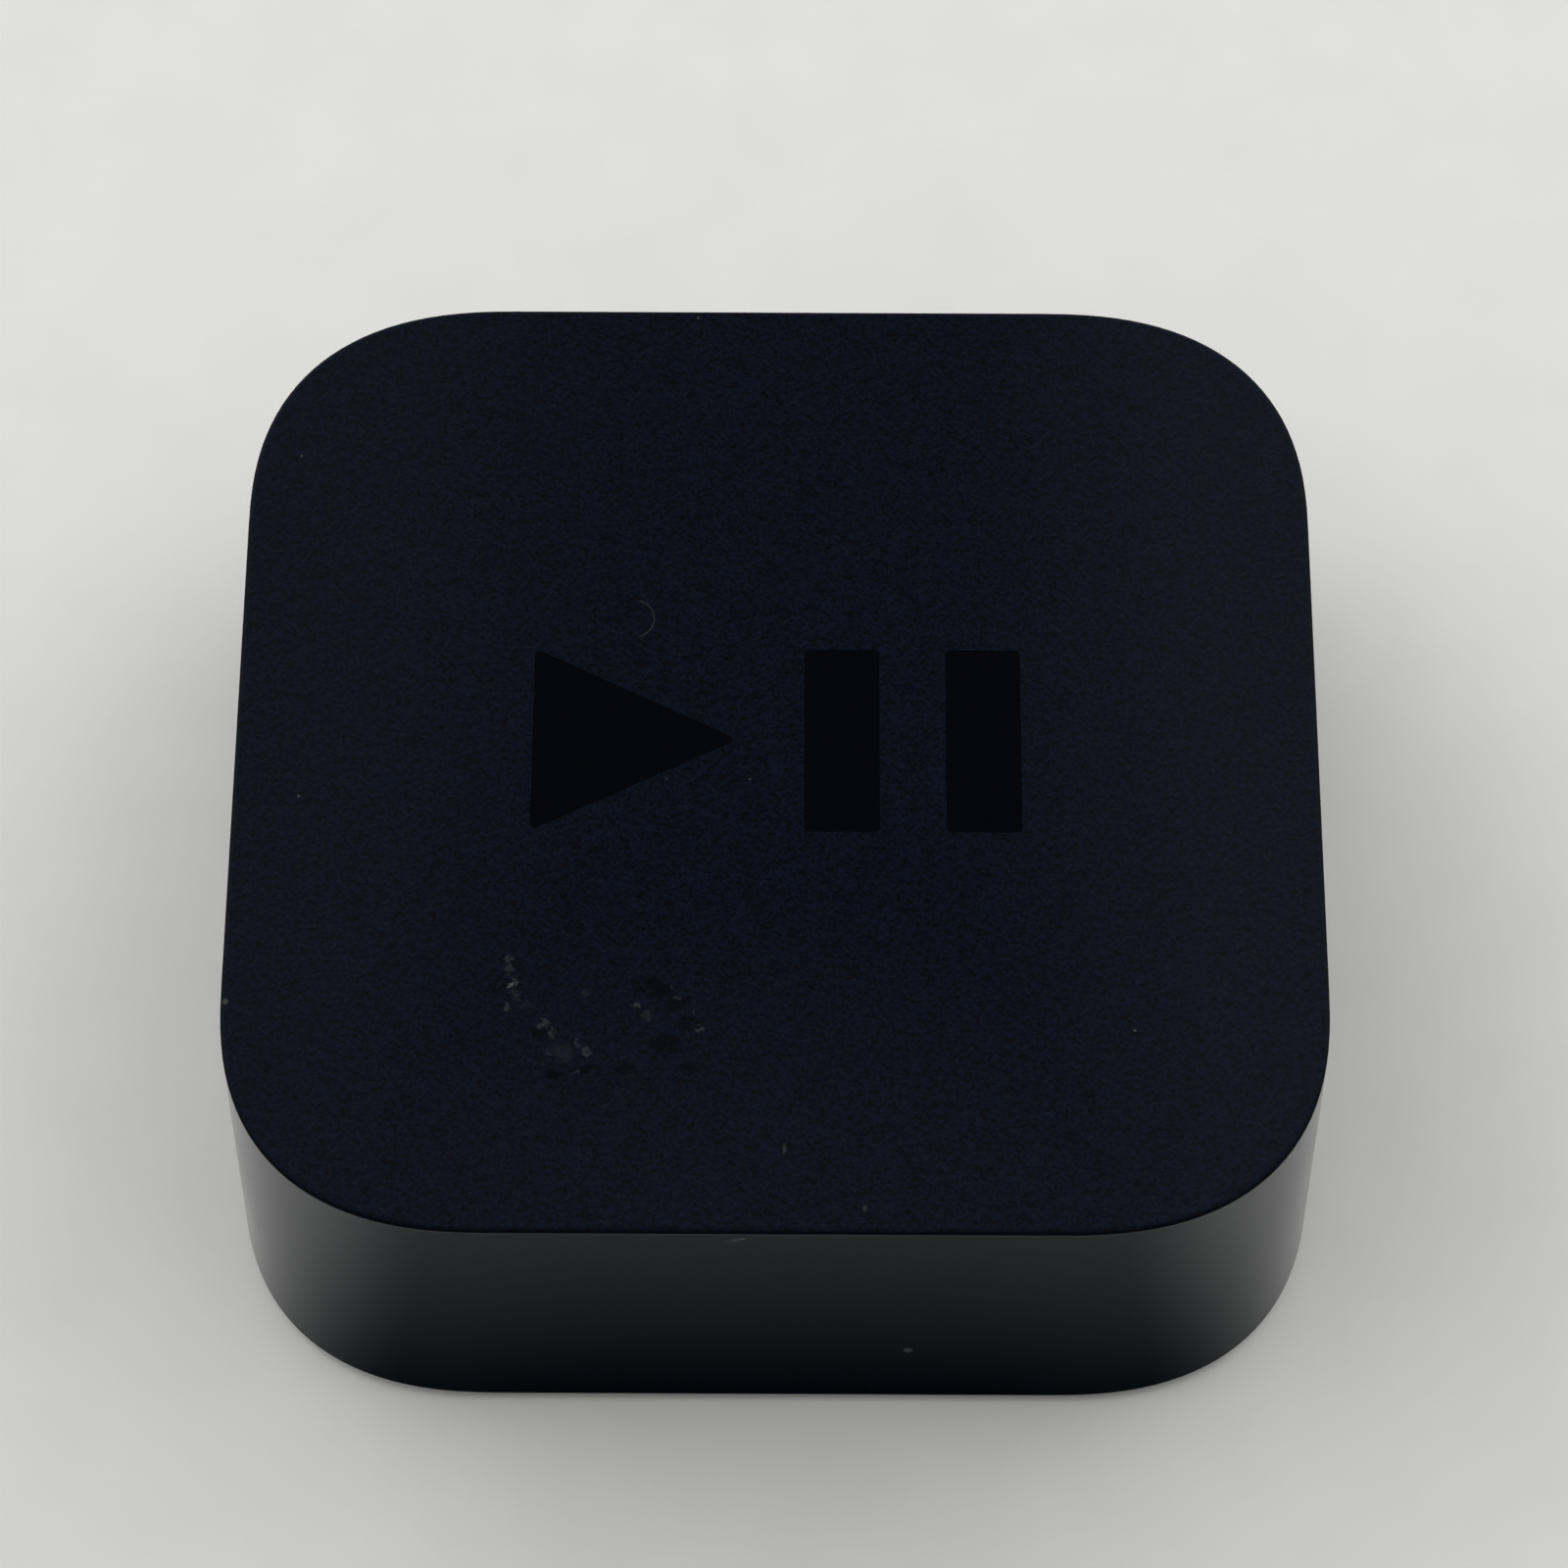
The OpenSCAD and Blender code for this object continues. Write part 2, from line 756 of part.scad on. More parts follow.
module fuse() {
    color([0.85, 0.8, 0.7]) {
        translate([4, 22.4, power_top + 2.2])
            rotate([0, 90, 0])
                cylinder(r = 1.8, h = 12, $fn = 32);
    }
    color(metal)
        for (x = [3, 14])
            translate([x, 22.4, power_top + 2.2])
                rotate([0, 90, 0])
                    cylinder(r = 2.2, h = 3, $fn = 32);
}

module filter_capacitor() {
    color([0.75, 0.6, 0.1])
        block([2, 15], [12.5, 18.5], [power_top, power_top + 9.5]);
}

module filter_choke() {
    at = [25, 11];
    color([0.15, 0.15, 0.16])
        difference() {
            chip(at, [14, 12, 9.4], power_top);
            chip(at, [8, 14, 5.4], power_top + 2);
        }
    color([0.7, 0.35, 0.12])
        for (y = [-1, 1])
            translate([at[0] - 4, at[1] + 2.9 * y, power_top + 4.7])
                rotate([0, 90, 0])
                    cylinder(r = 2.6, h = 8, $fn = 32);
}

module bridge_rectifier() {
    color(part_black)
        chip([26, 0], [7, 5, 2.6], power_top);
}

can_r = 4.9;

module bulk_capacitors() {
    color([0.08, 0.1, 0.3])
        for (y = [-9, -20])
            translate([9, y, power_top + can_r])
                rotate([0, 90, 0]) {
                    cylinder(r = can_r, h = 18, $fn = 48);
                    translate([0, 0, 18])
                        cylinder(r = can_r - 0.7, h = 0.6, $fn = 48);
                }
}

wound_at = [-10, -4];

// Two E-shaped ferrite halves closed round the bobbin
module transformer_core() {
    color([0.16, 0.16, 0.17])
        difference() {
            chip(wound_at, [20, 9, 10], power_top);
            chip(wound_at, [15, 20, 6], power_top + 2);
        }
}

module transformer_winding() {
    color([0.8, 0.7, 0.15])
        difference() {
            chip(wound_at, [14.8, 17, 5.8], power_top + 2.1);
            for (side = [-1, 1])
                chip([wound_at[0], wound_at[1] + side * 8], [9, 1.4, 8], power_top + 1);
        }
}

module switch_transistor() {
    color(part_black)
        block([-6, 4], [-31.4, -27], [power_top, power_top + 9]);
}

module transistor_heat_sink() {
    color(metal) {
        block([-12, 8], [-33, -31.4], [power_top, power_top + 9.6]);
        for (x = [-12, 7])
            block([x, x + 1], [-36, -33], [power_top, power_top + 9.6]);
    }
}

module output_rectifier() {
    color(part_black)
        chip([-28, -8], [7, 9, 2.6], power_top);
}

module output_capacitors() {
    color([0.1, 0.1, 0.12])
        for (p = [[-29, -18], [-21.5, -18], [-29, -25.5], [-21.5, -25.5]]) {
            post(p, 3.15, [power_top, power_top + 9]);
            post(p, 2.6, [power_top + 9, power_top + 9.3]);
        }
}

module output_choke() {
    color([0.7, 0.35, 0.12])
        translate([-12, 17, power_top])
            difference() {
                cylinder(r = 5, h = 6, $fn = 48);
                translate([0, 0, -1])
                    cylinder(r = 2, h = 8, $fn = 48);
            }
}

// ---------- nodes ----------

top_casing();
base_cover();
status_light_pipe();
heat_sink();
heat_sink_screws();
main_board();
processor();
processor_thermal_pad();
flash_memory();
flash_thermal_pad();
shield_fence();
control_chips();
power_coils();
network_transformer();
wireless_module();
antenna_plugs();
antenna(-1);  // antenna_left
antenna(1);  // antenna_right
antenna_cable_left();
antenna_cable_right();
video_socket_shell();
video_socket_tongue();
video_socket_contacts();
service_socket_shell();
service_socket_tongue();
service_socket_contacts();
network_jack();
network_jack_shield();
network_jack_contacts();
front_board();
remote_receiver();
status_led();
front_ribbon();
ribbon_connector();
power_posts();
power_post_screws();
insulator_tray();
power_board();
power_board_screws();
power_inlet();
power_inlet_pins();
fuse();
filter_capacitor();
filter_choke();
bridge_rectifier();
bulk_capacitors();
transformer_core();
transformer_winding();
switch_transistor();
transistor_heat_sink();
output_rectifier();
output_capacitors();
output_choke();
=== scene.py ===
from math import atan2, cos, pi, radians, sin

import bmesh
import bpy
import numpy as np
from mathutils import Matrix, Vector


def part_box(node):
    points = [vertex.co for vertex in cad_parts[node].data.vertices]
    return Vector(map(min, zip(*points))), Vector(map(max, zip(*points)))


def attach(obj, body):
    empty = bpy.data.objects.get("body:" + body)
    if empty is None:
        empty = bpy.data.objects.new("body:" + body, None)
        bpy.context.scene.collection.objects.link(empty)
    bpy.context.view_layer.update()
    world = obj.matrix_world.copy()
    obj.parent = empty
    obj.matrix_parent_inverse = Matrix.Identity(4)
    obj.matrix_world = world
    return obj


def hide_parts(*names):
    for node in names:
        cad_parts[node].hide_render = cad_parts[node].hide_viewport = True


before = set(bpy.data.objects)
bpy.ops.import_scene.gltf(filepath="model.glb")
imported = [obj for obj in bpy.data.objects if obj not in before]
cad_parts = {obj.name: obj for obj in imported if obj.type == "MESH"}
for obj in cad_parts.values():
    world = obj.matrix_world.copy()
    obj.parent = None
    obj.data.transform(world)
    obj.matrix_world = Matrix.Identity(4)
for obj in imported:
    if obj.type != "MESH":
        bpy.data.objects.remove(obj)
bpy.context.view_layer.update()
MM = 0.001


# ---------- studio ----------
# The player stands on a matt off-white table. Light comes softly from all round, most of it from behind,
# and a black card hangs behind and above, where the polished mark and the matt top would mirror it.

TABLE_TONE = (0.80, 0.80, 0.79)
LIGHT_RANGE = (0.21, 3.2)               # from the front, at its weakest, to the back
LIGHT_LEFT = 0.12                       # how much stronger the left is than the middle
CARD_HEIGHT = 58                        # degrees above the table, as seen from the player
CARD_EDGES = (18, 38)                   # where the card's dark starts and ends, in degrees from its middle


def node_in(tree, kind, at=(0, 0), **settings):
    """A new node of the given kind, with its settings made."""
    node = tree.nodes.new(kind)
    node.location = at
    for name, value in settings.items():
        setattr(node, name, value)
    return node


def wire(tree, *joints):
    """Links each pair of (node, output) and (node, input)."""
    for (source, output), (target, socket) in joints:
        tree.links.new(source.outputs[output], target.inputs[socket])


def make_sky():
    """Light by direction: it grows towards the back as the power 1.5. A round dark card hangs high behind."""
    world = bpy.data.worlds.new("soft_studio")
    world.use_nodes = True
    tree = world.node_tree
    tree.nodes.clear()
    towards = node_in(tree, "ShaderNodeTexCoord", (-900, 0))
    parts = node_in(tree, "ShaderNodeSeparateXYZ", (-700, 200))
    half_turn = node_in(tree, "ShaderNodeMapRange", (-500, 200))
    half_turn.inputs["From Min"].default_value = -1
    curve = node_in(tree, "ShaderNodeMath", (-300, 200), operation="POWER")
    curve.inputs[1].default_value = 1.5
    back = node_in(tree, "ShaderNodeMapRange", (-100, 200))
    back.inputs["To Min"].default_value, back.inputs["To Max"].default_value = LIGHT_RANGE
    aside = node_in(tree, "ShaderNodeMath", (-300, 400), operation="MULTIPLY_ADD")
    aside.inputs[1].default_value = -LIGHT_LEFT
    aside.inputs[2].default_value = 1
    sideways = node_in(tree, "ShaderNodeMath", (100, 300), operation="MULTIPLY")
    card = node_in(tree, "ShaderNodeVectorMath", (-700, -100), operation="DOT_PRODUCT")
    card.inputs[1].default_value = (0, cos(radians(CARD_HEIGHT)), sin(radians(CARD_HEIGHT)))
    dark = node_in(tree, "ShaderNodeMapRange", (-500, -100), interpolation_type="SMOOTHSTEP")
    dark.inputs["From Min"].default_value = cos(radians(CARD_EDGES[1]))
    dark.inputs["From Max"].default_value = cos(radians(CARD_EDGES[0]))
    dark.inputs["To Min"].default_value = 1
    dark.inputs["To Max"].default_value = 0.02
    both = node_in(tree, "ShaderNodeMath", (-300, 50), operation="MULTIPLY")
    light = node_in(tree, "ShaderNodeBackground", (-100, 50))
    light.inputs["Color"].default_value = (1, 1, 0.99, 1)
    out = node_in(tree, "ShaderNodeOutputWorld", (100, 50))
    wire(tree,
         ((towards, "Generated"), (parts, 0)), ((parts, "Y"), (half_turn, "Value")),
         ((half_turn, "Result"), (curve, 0)), ((curve, "Value"), (back, "Value")),
         ((parts, "X"), (aside, 0)), ((aside, "Value"), (sideways, 0)), ((back, "Result"), (sideways, 1)),
         ((towards, "Generated"), (card, 0)), ((card, "Value"), (dark, "Value")),
         ((sideways, "Value"), (both, 0)), ((dark, "Result"), (both, 1)),
         ((both, "Value"), (light, "Strength")), ((light, "Background"), (out, "Surface")))
    bpy.context.scene.world = world
    bpy.context.scene.view_settings.view_transform = "Standard"


def plain_shader(name, colour, roughness, **sockets):
    """A material with one Principled shader, its constants set on the shader's own sockets."""
    made = bpy.data.materials.new(name)
    made.use_nodes = True
    shader = made.node_tree.nodes["Principled BSDF"]
    shader.inputs["Base Color"].default_value = (*colour, 1)
    shader.inputs["Roughness"].default_value = roughness
    for socket, value in sockets.items():
        shader.inputs[socket.replace("_", " ")].default_value = value
    return made, made.node_tree, shader


def made_piece(name, points, faces, materials, face_material=None, smooth=30):
    """A mesh object from points (in metres) and faces, smooth but for turns over the given degrees."""
    mesh = bpy.data.meshes.new(name)
    mesh.from_pydata(np.asarray(points).tolist(), [], [tuple(int(i) for i in f) for f in faces])
    for m in materials:
        mesh.materials.append(m)
    if face_material is not None:
        mesh.polygons.foreach_set("material_index", np.asarray(face_material, dtype=np.int32))
    mesh.shade_smooth()
    mesh.set_sharp_from_angle(angle=radians(smooth))
    mesh.update()
    piece = bpy.data.objects.new(name, mesh)
    bpy.context.scene.collection.objects.link(piece)
    return piece


table_matt, tree, shader = plain_shader("table_matt", TABLE_TONE, 0.75, Specular_IOR_Level=0.15)
place = node_in(tree, "ShaderNodeTexCoord", (-900, 0))
cloud = node_in(tree, "ShaderNodeTexNoise", (-700, 0))
cloud.inputs["Scale"].default_value = 90
cloud.inputs["Detail"].default_value = 6
tone = node_in(tree, "ShaderNodeValToRGB", (-450, 0))
tone.color_ramp.elements[0].position = 0.3
tone.color_ramp.elements[0].color = (*(0.965 * c for c in TABLE_TONE), 1)
tone.color_ramp.elements[1].position = 0.7
tone.color_ramp.elements[1].color = (*TABLE_TONE, 1)
wire(tree, ((place, "Object"), (cloud, "Vector")), ((cloud, "Fac"), (tone, "Fac")))


def number(tree, operation, *values):
    """A Math node; each value is a number or a (node, output) pair."""
    node = node_in(tree, "ShaderNodeMath", operation=operation)
    for i, value in enumerate(values):
        if isinstance(value, tuple):
            wire(tree, (value, (node, i)))
        else:
            node.inputs[i].default_value = value
    return node, 0


def stepped(tree, value, start, end, low=0, high=1, kind="SMOOTHSTEP"):
    """A Map Range node that carries a (node, output) pair from start..end to low..high."""
    node = node_in(tree, "ShaderNodeMapRange", interpolation_type=kind)
    for socket, setting in (("From Min", start), ("From Max", end), ("To Min", low), ("To Max", high)):
        node.inputs[socket].default_value = setting
    wire(tree, (value, (node, "Value")))
    return node, "Result"


# Painted shadow in what the side wall mirrors: for glossy rays the table's colour is darkened close in front
# of the player, standing in for its shadow there.
# The distances are in metres from the middle of the player, the last pair from its wall.
SHADE_FORWARD = (0.028, 0.050)
SHADE_ASIDE = (0.034, 0.062)
SHADE_REACH = (0.001, 0.049)
HALF_WIDTH = 0.049
parts = node_in(tree, "ShaderNodeSeparateXYZ")
wire(tree, ((place, "Object"), (parts, 0)))
fourth = [number(tree, "POWER", number(tree, "ABSOLUTE", (parts, i)), 4) for i in (0, 1)]
away = number(tree, "SUBTRACT", number(tree, "POWER", number(tree, "ADD", *fourth), 0.25), HALF_WIDTH)
in_front = stepped(tree, number(tree, "MULTIPLY", (parts, 1), -1), *SHADE_FORWARD)
in_middle = stepped(tree, number(tree, "ABSOLUTE", (parts, 0)), *SHADE_ASIDE, 1, 0.1)
near = stepped(tree, away, *SHADE_REACH, 1, 0, "LINEAR")
shade = number(tree, "MULTIPLY", number(tree, "MULTIPLY", in_front, in_middle), near)
# Painted shadow: only glossy rays see the table's colour mixed towards black by this mask
mirrored = node_in(tree, "ShaderNodeLightPath")
strength = number(tree, "MULTIPLY", shade, (mirrored, "Is Glossy Ray"))
painted_shadow_mix = node_in(tree, "ShaderNodeMix", data_type="RGBA")
painted_shadow_mix.inputs["B"].default_value = (0, 0, 0, 1)
wire(tree, (strength, (painted_shadow_mix, "Factor")), ((tone, "Color"), (painted_shadow_mix, "A")),
     ((painted_shadow_mix, "Result"), (shader, "Base Color")))

TABLE_HALF = 2.5
corners = TABLE_HALF * np.array([(-1, -1, 0), (1, -1, 0), (1, 1, 0), (-1, 1, 0)])
table = made_piece("table", corners, [(0, 1, 2, 3)], [table_matt])

make_sky()

CAMERA_AT = (0.0023, -0.3042, 0.5216)
CAMERA_DOWN = 58.39                     # degrees below the horizon
CAMERA_TURN = 0.31
camera = bpy.data.objects.new("camera", bpy.data.cameras.new("camera"))
camera.data.lens = 146.2
camera.data.sensor_width = 36
camera.data.clip_start = 0.01
camera.location = CAMERA_AT
camera.rotation_euler = (radians(90 - CAMERA_DOWN), 0, radians(CAMERA_TURN))
bpy.context.scene.collection.objects.link(camera)
bpy.context.scene.camera = camera


# ---------- top casing ----------
# One black injection moulding: top, side wall and the bosses inside. The tool gives the top a fine spark
# texture and the wall a satin polish. The play and pause mark is a flat, mirror-polished recess.


def span(node):
    """The lowest and the highest corner of a piece, in millimetres."""
    return [np.array(corner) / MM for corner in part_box(node)]


casing_low, casing_high = span("top_casing")
BODY_W = casing_high[0] - casing_low[0]
BODY_H = casing_high[2]
LIP_Z = casing_low[2]
CORNER_REACH = 24.4
CORNER_POWER = 2.48
CORNER_STEPS = 28
WALL_T = 2
TOP_T = 2.2
EDGE_R = 0.5
LIP_R = 0.3
MOUTH_INSET = 1.2                       # at its mouth the wall is thinner, so that the base cover fits in
MOUTH_TOP = 3.1


def outline(inset):
    """Plan outline taken in by inset: straight sides joined by corners |x|^p + |y|^p = r^p, as (n, 2)."""
    half = BODY_W / 2 - inset
    reach = CORNER_REACH - inset
    t = np.linspace(0, pi / 2, CORNER_STEPS + 1)
    x = half - reach + reach * np.cos(t) ** (2 / CORNER_POWER)
    y = half - reach + reach * np.abs(np.sin(t)) ** (2 / CORNER_POWER)
    quarter = np.stack([x, y], 1)
    turns = [np.array([[cos(a), sin(a)], [-sin(a), cos(a)]]) for a in np.arange(4) * pi / 2]
    return np.concatenate([quarter @ turn for turn in turns])


def carried_round(profile):
    """Each (inset, height) of the profile carried round the outline: points as (rows * n, 3), and quads."""
    rows = np.stack([np.column_stack([outline(d), np.full(4 * (CORNER_STEPS + 1), z)]) for d, z in profile])
    count = rows.shape[1]
    k, i = np.meshgrid(np.arange(len(profile) - 1), np.arange(count), indexing="ij")
    j = (i + 1) % count
    quads = np.stack([k * count + i, (k + 1) * count + i, (k + 1) * count + j, k * count + j], -1)
    return rows.reshape(-1, 3), quads.reshape(-1, 4), k.reshape(-1), count


def quarter_turn(centre, radius, start, end, steps=6):
    """Points on an arc about centre from one angle to another, in degrees."""
    a = np.radians(np.linspace(start, end, steps + 1))
    return [(centre[0] + radius * u, centre[1] + radius * v) for u, v in zip(np.cos(a), np.sin(a))]


SUPPORT = 0.06                          # how far the flat faces run before an edge, so they shade flat
wall_rows = [
    (EDGE_R + SUPPORT, BODY_H),
    *quarter_turn((EDGE_R, BODY_H - EDGE_R), EDGE_R, 90, 180),
    (0, BODY_H - EDGE_R - SUPPORT), (0, LIP_Z + LIP_R + SUPPORT),
    *quarter_turn((LIP_R, LIP_Z + LIP_R), LIP_R, 180, 270, 4),
    (MOUTH_INSET - SUPPORT, LIP_Z), (MOUTH_INSET, LIP_Z), (MOUTH_INSET, LIP_Z + SUPPORT),
    (MOUTH_INSET, MOUTH_TOP), (WALL_T, MOUTH_TOP), (WALL_T, BODY_H - TOP_T)]
points, quads, row_of, around = carried_round(wall_rows)
last = (len(wall_rows) - 1) * around
faces = [tuple(range(around)), tuple(last + i for i in range(around - 1, -1, -1)), *map(tuple, quads)]
LIP_ROW = 13
RIM_ROW = 6                             # down to here the rounded edge has the top's texture
slot_of = [0, 2, *np.where(row_of < RIM_ROW, 0, np.where(row_of < LIP_ROW, 1, 2))]


def joined(*parts):
    """Several (points, faces) joined into one, their faces renumbered."""
    start = np.cumsum([0, *[len(p) for p, _ in parts[:-1]]])
    shifted = [tuple(int(i) + s for i in f) for s, (_, own) in zip(start, parts) for f in own]
    return np.concatenate([p for p, _ in parts]), shifted


def rounded(corners, radius, steps=5):
    """A plan polygon, counter-clockwise, with each corner replaced by an arc tangent to both its sides."""
    corners = np.asarray(corners, float)
    arcs = []
    for before, at, after in zip(np.roll(corners, 1, 0), corners, np.roll(corners, -1, 0)):
        u = (before - at) / np.linalg.norm(before - at)
        v = (after - at) / np.linalg.norm(after - at)
        half = 0.5 * np.arccos(np.clip(u @ v, -1, 1))
        middle = at + (u + v) / np.linalg.norm(u + v) * radius / sin(half)
        start = at + u * radius / np.tan(half) - middle
        a0 = atan2(start[1], start[0])
        arcs.append([middle + radius * np.array([cos(a0 + s), sin(a0 + s)])
                     for s in np.linspace(0, pi - 2 * half, steps + 1)])
    return np.concatenate(arcs)


def prism(plan, low, high, axes=(0, 1, 2)):
    """A plan polygon stretched from low to high, its plan axes and its length laid along the given axes."""
    n = len(plan)
    solid = np.empty((2 * n, 3))
    solid[:, axes[0]] = np.tile(plan[:, 0], 2)
    solid[:, axes[1]] = np.tile(plan[:, 1], 2)
    solid[:, axes[2]] = np.repeat([low, high], n)
    i = np.arange(n)
    j = (i + 1) % n
    sides = np.stack([i, j, n + j, n + i], 1)
    walls = [tuple(range(n - 1, -1, -1)), tuple(range(n, 2 * n)), *map(tuple, sides)]
    odd = (axes in ((0, 2, 1), (1, 0, 2), (2, 1, 0)))
    return solid, [f[::-1] for f in walls] if odd else walls


def box_plan(x, y):
    """The four corners of a rectangle, counter-clockwise."""
    return [(x[0], y[0]), (x[1], y[0]), (x[1], y[1]), (x[0], y[1])]


def oblong(middle, width, height, radius, steps=10):
    """A rectangle about its middle whose corners have the given radius."""
    cx, cz = middle
    across = (cx - width / 2, cx + width / 2)
    upright = (cz - height / 2, cz + height / 2)
    return rounded(box_plan(across, upright), radius, steps)


MARK_AT = (0, 1.2)
MARK_H = 19.4
TRIANGLE_W = 18.6
BAR_W = 6.8
MARK_SPACE = 6
MARK_DEPTH = 0.06
MARK_CORNER_R = 0.45
mark_left = MARK_AT[0] - (TRIANGLE_W + 2 * (BAR_W + MARK_SPACE)) / 2
mark_low = MARK_AT[1] - MARK_H / 2
mark_tip = (mark_left + TRIANGLE_W, MARK_AT[1])
triangle = rounded([(mark_left, mark_low), mark_tip, (mark_left, mark_low + MARK_H)], MARK_CORNER_R)
bar_starts = [mark_left + TRIANGLE_W + MARK_SPACE + i * (BAR_W + MARK_SPACE) for i in (0, 1)]
bars = [rounded(box_plan((x, x + BAR_W), (mark_low, mark_low + MARK_H)), MARK_CORNER_R) for x in bar_starts]


def middle(node):
    """The middle of a piece's box, in millimetres."""
    return sum(span(node)) / 2


INLET_X, _, PORT_Z = middle("power_inlet")
VIDEO_MID = middle("video_socket_shell")
SERVICE_MID = middle("service_socket_shell")
JACK_X = middle("network_jack")[0]
LIGHT_X, _, LIGHT_Z = middle("status_light_pipe")

# Openings in the rear wall, and the light's hole in the front wall: width, height and corner radius
INLET_OPENING = (18.6, 9.8, 4.88)
VIDEO_OPENING = (15.6, 6.3, 0.8)
SERVICE_OPENING = (9.5, 3.7, 1.84)
JACK_OPENING = (13.6, 10.4, 0.5)
LIGHT_HOLE = (0.94, 0.94, 0.46)
rear = (BODY_W / 2 - 8, BODY_W / 2 + 1)
front = (-BODY_W / 2 - 1, -BODY_W / 2 + 4)
XZ = (0, 2, 1)
cut_shapes = [
    *[prism(p, BODY_H - MARK_DEPTH, BODY_H + 1) for p in (triangle, *bars)],
    prism(oblong((INLET_X, PORT_Z), *INLET_OPENING), *rear, XZ),
    prism(oblong((VIDEO_MID[0], VIDEO_MID[2] + 0.1), *VIDEO_OPENING, 5), *rear, XZ),
    prism(oblong((SERVICE_MID[0], SERVICE_MID[2]), *SERVICE_OPENING), *rear, XZ),
    prism(oblong((JACK_X, PORT_Z), *JACK_OPENING, 4), *rear, XZ),
    prism(oblong((LIGHT_X, LIGHT_Z), *LIGHT_HOLE, 6), *front, XZ)]
board_top = span("main_board")[1][2]
power_low, power_top = (c[2] for c in span("power_board"))
CEILING_Z = BODY_H - TOP_T
INNER_W = BODY_W - 2 * WALL_T
CLIP_W = 7
CLIP_SPACE = 0.4                        # beside a clip, in its pocket
CLIP_PLACES = [(side, turn) for side in (-16, 16) for turn in range(4)]
POCKET_DEEP = (46, 47.4)
POCKET_Z = (3.9, 5.2)


def spun(shape, turn):
    """A (points, faces) shape turned about the upright axis by a number of quarter turns."""
    c, s = cos(turn * pi / 2), sin(turn * pi / 2)
    return shape[0] @ np.array([[c, s, 0], [-s, c, 0], [0, 0, 1]]), shape[1]


for side, turn in CLIP_PLACES:
    width = (side - CLIP_W / 2 - CLIP_SPACE, side + CLIP_W / 2 + CLIP_SPACE)
    cut_shapes.append(spun(prism(np.array(box_plan(width, POCKET_DEEP)), *POCKET_Z), turn))
cut_points, cut_faces = joined(*cut_shapes)


def new_group(name, inputs, outputs):
    """An empty node group with named sockets: inputs (name, kind, start value), outputs (name, kind)."""
    group = bpy.data.node_groups.new(name, "ShaderNodeTree")
    for title, kind, start in inputs:
        socket = group.interface.new_socket(title, in_out="INPUT", socket_type="NodeSocket" + kind)
        socket.default_value = start
    for title, kind in outputs:
        group.interface.new_socket(title, in_out="OUTPUT", socket_type="NodeSocket" + kind)
    return group, node_in(group, "NodeGroupInput", (-900, 0)), node_in(group, "NodeGroupOutput", (600, 0))


def make_fine_grain():
    """Grain: a noise of a given size carries the colour between two values and gives a height; a broad one
    carries the gloss."""
    group, given, out = new_group(
        "fine_grain",
        [("Grains per Metre", "Float", 1000), ("Stretch", "Vector", (1, 1, 1)),
         ("Dark", "Color", (0, 0, 0, 1)), ("Light", "Color", (1, 1, 1, 1)),
         ("Gloss Low", "Float", 0.4), ("Gloss High", "Float", 0.6)],
        [("Color", "Color"), ("Roughness", "Float"), ("Height", "Float")])
    place = node_in(group, "ShaderNodeTexCoord", (-900, 300))
    stretched = node_in(group, "ShaderNodeVectorMath", (-650, 200), operation="MULTIPLY")
    noise = node_in(group, "ShaderNodeTexNoise", (-450, 200))
    noise.inputs["Detail"].default_value = 3
    noise.inputs["Roughness"].default_value = 0.6
    spread = node_in(group, "ShaderNodeMapRange", (-200, 200))
    spread.inputs["From Min"].default_value = 0.3
    spread.inputs["From Max"].default_value = 0.7
    tone = node_in(group, "ShaderNodeMix", (50, 200), data_type="RGBA")
    broad = node_in(group, "ShaderNodeTexNoise", (-450, -200))
    broad.inputs["Scale"].default_value = 120
    gloss = node_in(group, "ShaderNodeMapRange", (50, -200))
    gloss.inputs["From Min"].default_value = 0.35
    gloss.inputs["From Max"].default_value = 0.65
    wire(group,
         ((place, "Object"), (stretched, 0)), ((given, "Stretch"), (stretched, 1)),
         ((stretched, "Vector"), (noise, "Vector")), ((given, "Grains per Metre"), (noise, "Scale")),
         ((noise, "Fac"), (spread, "Value")), ((spread, "Result"), (tone, "Factor")),
         ((given, "Dark"), (tone, "A")), ((given, "Light"), (tone, "B")),
         ((place, "Object"), (broad, "Vector")), ((broad, "Fac"), (gloss, "Value")),
         ((given, "Gloss Low"), (gloss, "To Min")), ((given, "Gloss High"), (gloss, "To Max")),
         ((tone, "Result"), (out, "Color")), ((gloss, "Result"), (out, "Roughness")),
         ((spread, "Result"), (out, "Height")))
    return group


fine_grain = make_fine_grain()


def grained(name, colour, gloss, size, depth=0.005, contrast=0.25, stretch=(1, 1, 1), **sockets):
    """A material with fine grain, its size and depth in millimetres; gloss is the roughness's two ends."""
    made, tree, shader = plain_shader(name, colour, sum(gloss) / 2, **sockets)
    grain = node_in(tree, "ShaderNodeGroup", (-600, 0))
    grain.node_tree = fine_grain
    grain.inputs["Grains per Metre"].default_value = 1 / (size * MM)
    grain.inputs["Stretch"].default_value = stretch
    grain.inputs["Dark"].default_value = (*(c * (1 - contrast) for c in colour), 1)
    grain.inputs["Light"].default_value = (*(c * (1 + contrast) for c in colour), 1)
    grain.inputs["Gloss Low"].default_value, grain.inputs["Gloss High"].default_value = gloss
    bump = node_in(tree, "ShaderNodeBump", (-300, -200))
    bump.inputs["Distance"].default_value = depth * MM
    wire(tree, ((grain, "Color"), (shader, "Base Color")), ((grain, "Roughness"), (shader, "Roughness")),
         ((grain, "Height"), (bump, "Height")), ((bump, "Normal"), (shader, "Normal")))
    return made, tree, shader, grain


